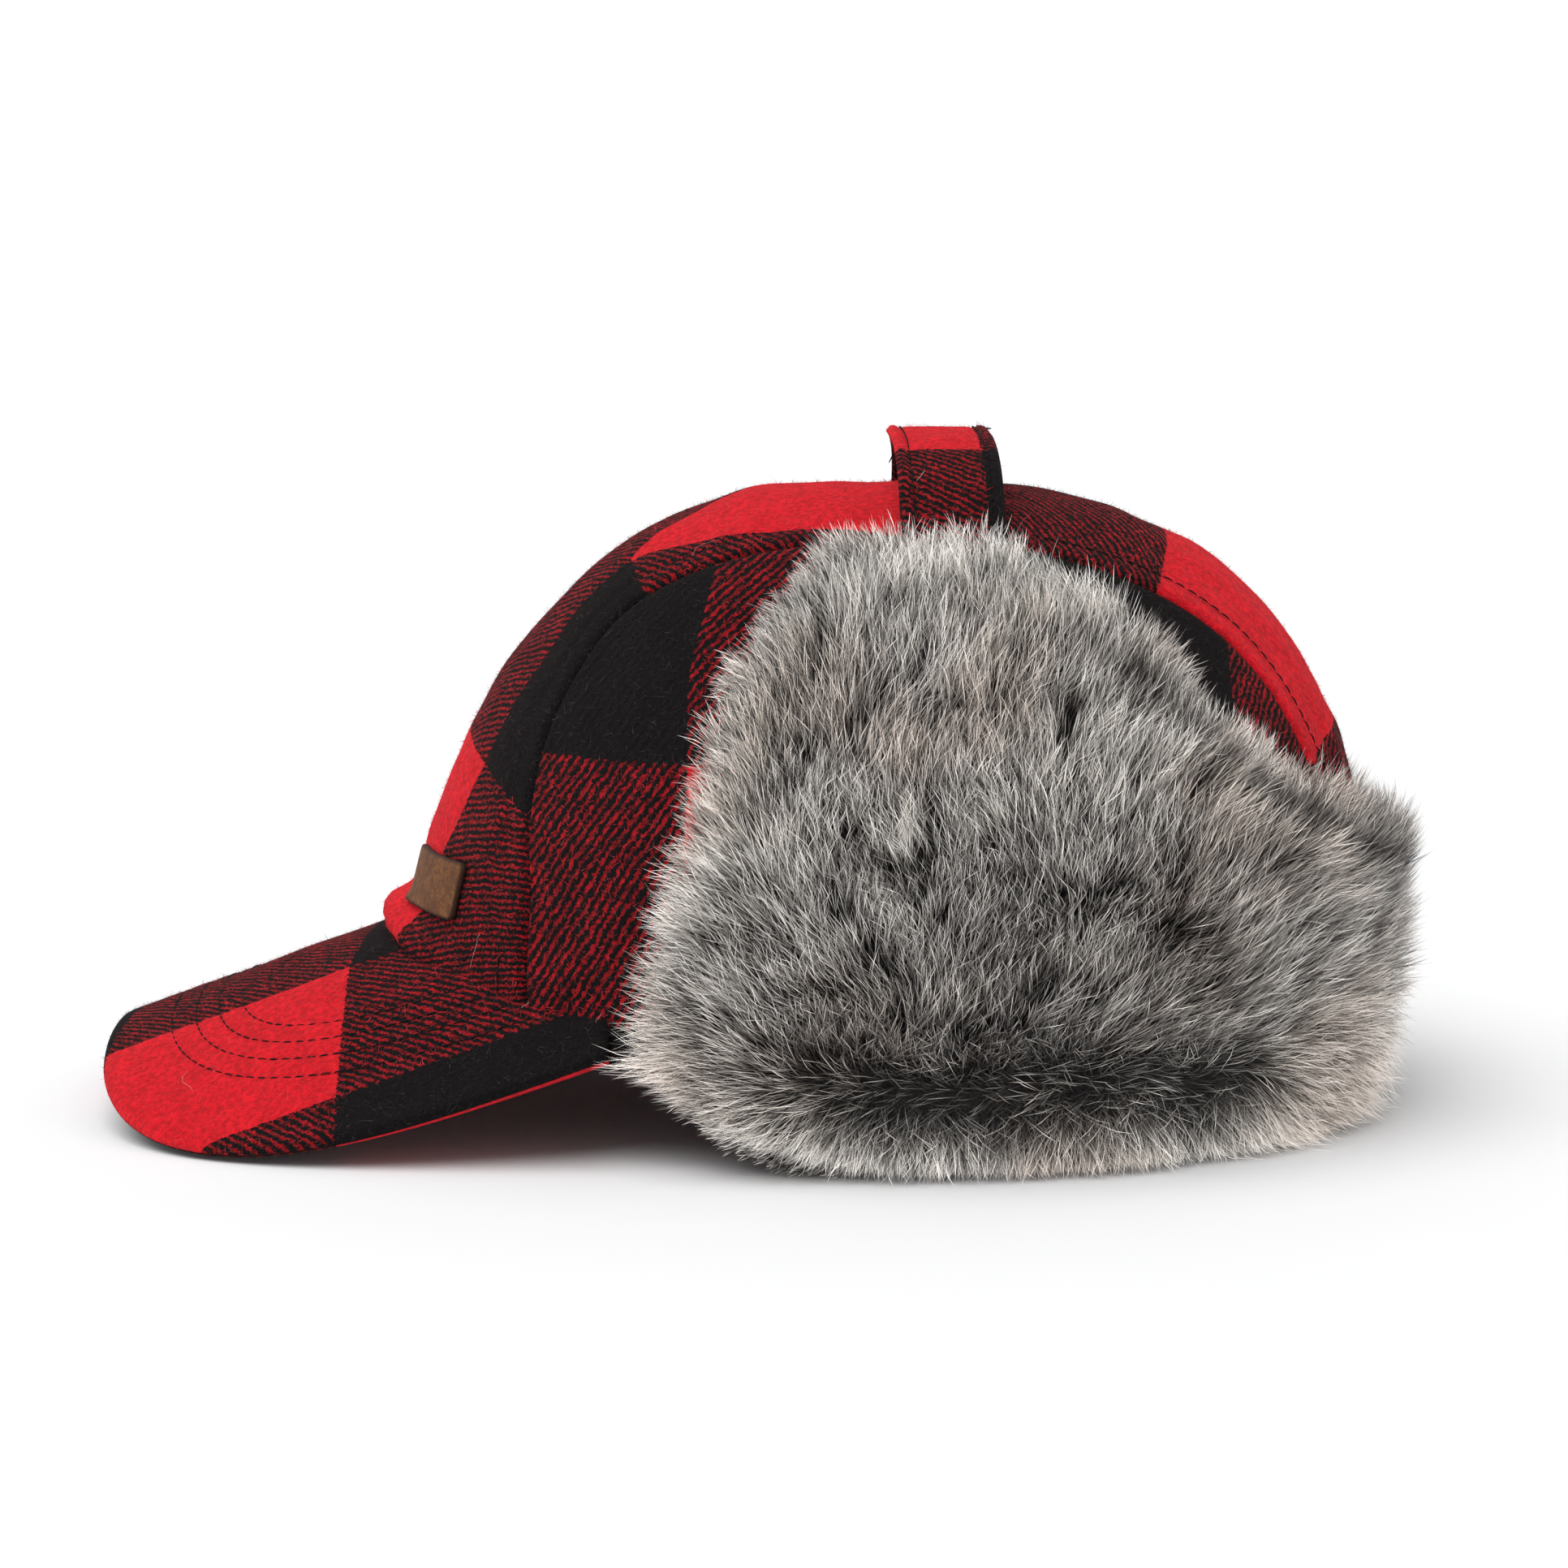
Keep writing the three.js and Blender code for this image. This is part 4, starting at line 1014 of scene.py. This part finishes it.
def outward(grid, i, j, point):
    normal = unit(np.cross(grid[i + 1, j] - grid[i, j], grid[i, j + 1] - grid[i, j]))
    middle = grid.reshape(-1, 3).mean(axis=0) - np.array([0, 0, 40.0])
    return normal * np.where(((point - middle) * normal).sum(axis=-1) < 0, -1, 1)[..., None]


def wool_fuzz(material, count):
    random = np.random.default_rng(SEED + 5)
    areas = [cell_areas(outer) for outer, _ in cloth_grids]
    total = sum(area.sum() for area in areas)
    found = []
    for (outer, check), area in zip(cloth_grids, areas):
        number = int(count * area.sum() / total)
        cell = random.choice(area.size, size=number, p=area.ravel() / area.sum())
        i, j = np.divmod(cell, area.shape[1])
        fi = random.uniform(size=number)[:, None]
        fj = random.uniform(size=number)[:, None]
        point = in_cell(outer, i, j, fi, fj)
        normal = outward(outer, i, j, point)
        loose = unit(random.normal(size=(number, 3)))
        tangent = unit(loose - normal * (loose * normal).sum(axis=1)[:, None])
        lift = random.uniform(0.12, 0.7, size=number)[:, None]
        long = random.gamma(3.0, 0.32, size=number)[:, None] + 0.35
        widths = random.uniform(0.05, 0.12, size=number)[:, None]
        is_red = random.uniform(size=number) < cloth_tones(check[i, j, 0], check[i, j, 1])
        tones = np.where(is_red, 0.55, 0.0) + random.uniform(0, 0.43, size=number)
        lines = np.stack([point, point + (tangent + normal * lift) * long], axis=1)
        found.append((lines, unit(np.cross(tangent, normal))[:, None], widths, np.clip(tones, 0.02, 0.98)))
    return ribbons("wool_fuzz", *(np.concatenate(part) for part in zip(*found)), (0.0, 1.0), material)


def lint(material, count):
    """A few long pale curly fibres lying on the cloth."""
    random = np.random.default_rng(SEED + 9)
    lines = []
    sides = []
    for _ in range(count):
        outer, _ = cloth_grids[random.integers(len(cloth_grids))]
        i = random.integers(2, outer.shape[0] - 3)
        j = random.integers(2, outer.shape[1] - 3)
        point = outer[i, j]
        normal = outward(outer, i, j, point)
        heading = unit(random.normal(size=3))
        step = random.uniform(0.5, 1.1)
        path = []
        for k in range(9):
            heading = unit(heading + random.normal(size=3) * 0.35)
            heading = unit(heading - normal * (heading @ normal) * 0.9)
            path.append(point + normal * (0.15 + 0.5 * math.sin(k / 8 * math.pi)))
            point = point + heading * step
        lines.append(path)
        sides.append(unit(np.cross(unit(np.gradient(np.array(path), axis=0)), normal)))
    tones = random.uniform(0.2, 0.95, size=count)
    return ribbons("wool_lint", np.array(lines), np.array(sides), np.full((count, 8), 0.05), tones,
                   np.linspace(0, 1, 9), material)


class Nodes:
    """Short ways to add nodes to a tree."""

    def __init__(self, tree):
        self.tree = tree

    def node(self, kind, *values):
        """A new node whose first inputs have these values or links."""
        node = self.tree.nodes.new("ShaderNode" + kind)
        for socket, value in zip(node.inputs, values):
            self.put(socket, value)
        return node

    def put(self, socket, value):
        if isinstance(value, bpy.types.NodeSocket):
            self.tree.links.new(value, socket)
        elif isinstance(value, tuple) and len(socket.default_value) == 4:
            socket.default_value = (*value, 1.0)
        else:
            socket.default_value = value

    def math(self, operation, *values):
        node = self.node("Math", *values)
        node.operation = operation
        return node.outputs[0]

    def mul(self, a, b):
        return self.math("MULTIPLY", a, b)

    def mad(self, a, b, c):
        return self.math("MULTIPLY_ADD", a, b, c)

    def sub(self, a, b):
        return self.math("SUBTRACT", a, b)

    def map_range(self, value, low, high, to_low=0.0, to_high=1.0, kind="SMOOTHSTEP"):
        node = self.node("MapRange", value, low, high, to_low, to_high)
        node.interpolation_type = kind
        return node.outputs[0]


class Shader(Nodes):
    """A material's node tree with one Principled shader."""

    def __init__(self, name):
        self.material = bpy.data.materials.new(name)
        self.material.use_nodes = True
        super().__init__(self.material.node_tree)
        self.tree.nodes.clear()
        self.surface = self.node("BsdfPrincipled")
        self.place = self.node("TexCoord").outputs["Object"]
        self.tree.links.new(self.surface.outputs[0], self.node("OutputMaterial").inputs[0])

    def set(self, **values):
        for name, value in values.items():
            self.put(self.surface.inputs[name.replace("_", " ")], value)

    def noise(self, size, detail=2.0, roughness=0.5):
        """Noise with features about this many millimetres wide."""
        node = self.node("TexNoise", self.place)
        for name, value in (("Scale", 1.0 / (size * MM)), ("Detail", detail), ("Roughness", roughness)):
            self.put(node.inputs[name], value)
        return node.outputs[0]

    def pair(self, layer):
        """The two numbers of a UV layer."""
        source = self.node("UVMap")
        source.uv_map = layer
        return self.node("SeparateXYZ", source.outputs[0]).outputs[:2]

    def blend(self, share, a, b, kind="MIX"):
        node = self.node("Mix", share)
        node.data_type = "RGBA"
        node.blend_type = kind
        self.put(node.inputs[6], a)
        self.put(node.inputs[7], b)
        return node.outputs[2]

    def ramp(self, value, stops):
        node = self.node("ValToRGB", value)
        elements = node.color_ramp.elements
        while len(elements) < len(stops):
            elements.new(0.5)
        for element, (place, color) in zip(elements, stops):
            element.position = place
            element.color = (*color, 1.0)
        return node.outputs[0]

    def bump(self, height, distance, strength=1.0):
        node = self.node("Bump", strength, distance * MM)
        self.put(node.inputs["Height"], height)
        self.set(Normal=node.outputs[0])


WOOL_RED = (0.92, 0.009, 0.022)
WOOL_DEEP_RED = (0.33, 0.004, 0.009)
WOOL_BLACK = (0.0075, 0.0075, 0.0082)
WOOL_GREY = (0.02, 0.018, 0.018)


def wool_material():
    """Brushed twill in a red and black check: where red and black threads cross, twill lines show."""
    sh = Shader("check_wool")
    column, line = sh.pair("check")
    phase, along = sh.pair("twill")
    ragged = sh.sub(sh.noise(0.9, 3.0, 0.6), 0.5)
    column = sh.mad(ragged, 0.035, column)
    line = sh.mad(ragged, 0.035, line)
    red_column = sh.math("FLOORED_MODULO", sh.math("FLOOR", column), 2.0)
    red_line = sh.sub(1.0, sh.math("FLOORED_MODULO", sh.math("FLOOR", line), 2.0))
    solid = sh.mul(red_column, red_line)
    drift = sh.sub(sh.noise(3.2, 2.0), 0.5)
    lumps = sh.sub(sh.noise(0.7, 2.0, 0.6), 0.5)
    moved = sh.math("ADD", phase, sh.mad(drift, 1.0, sh.mul(lumps, 0.85)))
    wave = sh.math("SINE", sh.mul(moved, 2 * math.pi))
    bead_run = sh.mad(along, 2 * math.pi / 1.9, sh.mul(sh.math("FLOOR", phase), 2.4))
    beads = sh.mul(sh.math("SINE", bead_run), 0.3)
    over = sh.map_range(sh.math("ADD", wave, beads), -0.05, 0.55)
    under = sh.map_range(sh.sub(beads, wave), -0.05, 0.55)
    crossing = sh.mad(red_column, over, sh.mul(red_line, under))
    fibres = sh.noise(0.35, 4.0, 0.65)
    blotch = sh.noise(5.0, 3.0, 0.55)
    felt = sh.noise(1.3, 3.0, 0.6)
    mixed = sh.mul(crossing, sh.map_range(blotch, 0.3, 0.7, 0.62, 1.0))
    mixed = sh.mul(mixed, sh.map_range(sh.noise(1.0, 2.0), 0.36, 0.54, 0.2, 1.0))
    fill = sh.math("MAXIMUM", solid, sh.mul(mixed, sh.map_range(fibres, 0.2, 0.6, 0.55, 1.0)))
    strength = sh.mad(solid, 0.6, sh.map_range(felt, 0.3, 0.7, 0.08, 0.46))
    bright = sh.blend(strength, WOOL_DEEP_RED, WOOL_RED)
    dark = sh.blend(sh.map_range(fibres, 0.5, 0.85), WOOL_BLACK, WOOL_GREY)
    color = sh.blend(fill, dark, bright)
    shade = sh.map_range(sh.mad(felt, 0.6, sh.mul(blotch, 0.4)), 0.3, 0.7, 0.83, 1.14)
    color = sh.blend(1.0, color, shade, "MULTIPLY")
    sheen = sh.mad(fill, 0.08, 0.03)
    sh.set(Base_Color=color, Roughness=0.95, Specular_IOR_Level=0.06, Sheen_Weight=sheen, Sheen_Roughness=0.5,
           Sheen_Tint=(1.0, 0.6, 0.6))
    ridge = sh.mul(wave, sh.sub(0.16, sh.mul(solid, 0.11)))
    sh.bump(sh.mad(felt, 1.1, sh.mad(fibres, 0.8, ridge)), 0.9, 0.9)
    return sh.material


def strand_material(name, roughness, stops):
    sh = Shader(name)
    tone, _ = sh.pair("OFBake")
    sh.set(Base_Color=sh.ramp(tone, stops), Roughness=roughness)
    return sh.material


def fuzz_material():
    return strand_material("wool_hair", 0.9, [
        (0.0, (0.01, 0.01, 0.011)), (0.36, (0.02, 0.018, 0.018)), (0.43, (0.1, 0.07, 0.07)),
        (0.54, (0.36, 0.006, 0.012)), (0.85, (0.6, 0.012, 0.02)), (1.0, (0.75, 0.09, 0.1)),
    ])


def lint_material():
    return strand_material("lint", 0.7, [(0.0, (0.5, 0.12, 0.12)), (1.0, (0.85, 0.78, 0.74))])


def fur_material():
    """Hair that is dark at its root and pale at its tip; each hair has a tone of its own, which also carries the
    painted light and painted shade laid on the hair by its place on the band.
    """
    sh = Shader("faux_fur")
    tone, along = sh.pair("OFBake")
    at = sh.math("ADD", along, sh.mul(sh.sub(tone, 0.5), 0.35))
    color = sh.ramp(at, [
        (0.0, (0.01, 0.009, 0.0085)), (0.36, (0.024, 0.0215, 0.02)), (0.54, (0.11, 0.1, 0.09)),
        (0.73, (0.44, 0.414, 0.383)), (0.92, (0.9, 0.865, 0.825)),
    ])
    # The hair's tone, with its painted light and painted shade, scales its colour.
    color = sh.blend(1.0, color, sh.map_range(tone, 0.0, 1.0, 0.32, 1.9, "LINEAR"), "MULTIPLY")
    brown = sh.map_range(sh.noise(38.0), 0.42, 0.66, 0.0, 0.6)
    color = sh.blend(brown, color, sh.blend(1.0, color, (0.9, 0.81, 0.76), "MULTIPLY"))
    sh.set(Base_Color=color, Roughness=0.48, Specular_IOR_Level=0.4)
    return sh.material


def backing_material():
    sh = Shader("fur_base")
    sh.set(Base_Color=sh.blend(sh.noise(3.0, 3.0), (0.012, 0.011, 0.010), (0.035, 0.032, 0.03)), Roughness=1.0)
    sh.bump(sh.noise(0.7, 3.0), 0.5)
    return sh.material


def thread_material():
    sh = Shader("black_thread")
    color = sh.blend(sh.noise(0.4), (0.004, 0.004, 0.0045), (0.011, 0.01, 0.01))
    sh.set(Base_Color=color, Roughness=0.75, Specular_IOR_Level=0.15)
    sh.bump(sh.noise(0.2), 0.1)
    return sh.material


def leather_material():
    """Plain brown leather, a little worn, with painted shade darkening it along its edges."""
    sh = Shader("label_leather")
    across, up = sh.pair("face")
    from_side, from_end = (sh.mul(sh.math("MINIMUM", at, sh.sub(1.0, at)), size)
                           for at, size in ((across, 33.0), (up, 12.5)))
    edge = sh.map_range(sh.math("MINIMUM", from_side, from_end), 0.1, 1.0)
    grain = sh.noise(0.7, 4.0, 0.6)
    patches = sh.map_range(sh.noise(2.6, 4.0, 0.6), 0.42, 0.62, 0.0, 0.8)
    color = sh.blend(sh.map_range(grain, 0.3, 0.7), (0.085, 0.028, 0.007), (0.29, 0.115, 0.032))
    color = sh.blend(patches, color, (0.1, 0.036, 0.012))
    # Painted shade along the label's edges.
    color = sh.blend(edge, (0.04, 0.014, 0.006), color)
    sh.set(Base_Color=color, Roughness=sh.map_range(grain, 0.3, 0.7, 0.62, 0.85), Specular_IOR_Level=0.3)
    sh.bump(sh.mad(grain, 0.6, sh.noise(0.25)), 0.3)
    return sh.material


def floor_material():
    sh = Shader("studio_floor")
    color = sh.blend(sh.noise(60.0), (0.93, 0.935, 0.945), (0.95, 0.95, 0.955))
    sh.set(Base_Color=color, Roughness=0.95, Specular_IOR_Level=0.1)
    return sh.material


def add_floor():
    half = 6000.0
    points = np.array([[-half, -half, 0], [half, -half, 0], [half, half, 0], [-half, half, 0]])
    floor = build_mesh("studio_floor", points, [0, 1, 2, 3], [4], {}, floor_material())


def add_world():
    """A white studio: brighter towards the horizon, so that it meets the floor without a line."""
    world = bpy.data.worlds.new("studio")
    bpy.context.scene.world = world
    world.use_nodes = True
    nodes = Nodes(world.node_tree)
    x, _, z = nodes.node("SeparateXYZ", nodes.node("TexCoord").outputs["Generated"]).outputs
    sky = nodes.mad(x, -WORLD["sky"] * WORLD["dimmer_near"], WORLD["sky"])
    color, strength = world.node_tree.nodes["Background"].inputs[:2]
    nodes.put(color, (1.0, 1.0, 1.0))
    nodes.put(strength, nodes.map_range(z, 0.06, 0.3, WORLD["horizon"], sky))


def look_from(data, azimuth, elevation, target, distance):
    """Puts a light or camera at a distance in metres from its target, and turns it to the target."""
    made = bpy.data.objects.new(data.name, data)
    bpy.context.scene.collection.objects.link(made)
    a = azimuth * DEGREE
    e = elevation * DEGREE
    away = Vector((math.sin(a) * math.cos(e), -math.cos(a) * math.cos(e), math.sin(e)))
    made.location = Vector(target) + away * distance
    made.rotation_euler = away.to_track_quat("Z", "Y").to_euler()
    return made


def add_sun():
    data = bpy.data.lights.new("key", "SUN")
    data.energy = SUN["energy"]
    data.angle = SUN["width"] * DEGREE
    look_from(data, SUN["azimuth"], SUN["elevation"], (0, 0, 0), 1.0)


def add_camera():
    data = bpy.data.cameras.new("camera")
    data.sensor_fit = "HORIZONTAL"
    data.sensor_width = CAMERA["sensor"]
    data.lens = CAMERA["lens"]
    data.clip_end = 50.0
    x, y, z = CAMERA_TARGET
    target = (x * MM, (y + SHIFT_Y) * MM, z * MM)
    distance = CAMERA["distance"] * MM
    bpy.context.scene.camera = look_from(data, CAMERA["azimuth"], CAMERA["elevation"], target, distance)


def dress(piece, *nodes, slot="check_wool"):
    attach(piece, "root")
    if nodes:
        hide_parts(*nodes)
    return piece


def build_hat():
    wool = wool_material()
    thread = thread_material()
    fur = fur_material()

    centre = dress(crown_centre(wool), "crown_centre_panel")
    left = dress(crown_side("crown_left_cloth", 0, wool), "crown_side_panel_left")
    right = dress(crown_side("crown_right_cloth", 1, wool), "crown_side_panel_right")
    peak = dress(peak_cloth(wool), "peak")
    strap, strap_lines, line, out = strap_cloth(wool)
    dress(strap, "top_strap")
    dress(label_leather(leather_material()), "leather_label", slot="leather")
    backing, backing_grid = fur_backing(backing_material())
    dress(backing, "earflap_band", slot="faux_fur")
    strands = [dress(piece, "earflap_band", slot="faux_fur") for piece in fur_pieces(fur)]

    crown_thread = dress(stitches("crown_stitches", crown_stitch_lines(), thread))
    peak_thread = dress(stitches("peak_stitches", peak_stitch_lines(), thread))
    strap_thread = dress(stitches("strap_stitches", strap_lines, thread))
    dress(thread_ends("strap_thread_ends", loose_ends(line, out), thread))
    dress(wool_fuzz(fuzz_material(), FUZZ_COUNT))
    dress(lint(lint_material(), LINT_COUNT))


add_camera()
build_hat()
add_floor()
add_world()
add_sun()
bpy.context.scene.view_settings.view_transform = "Standard"
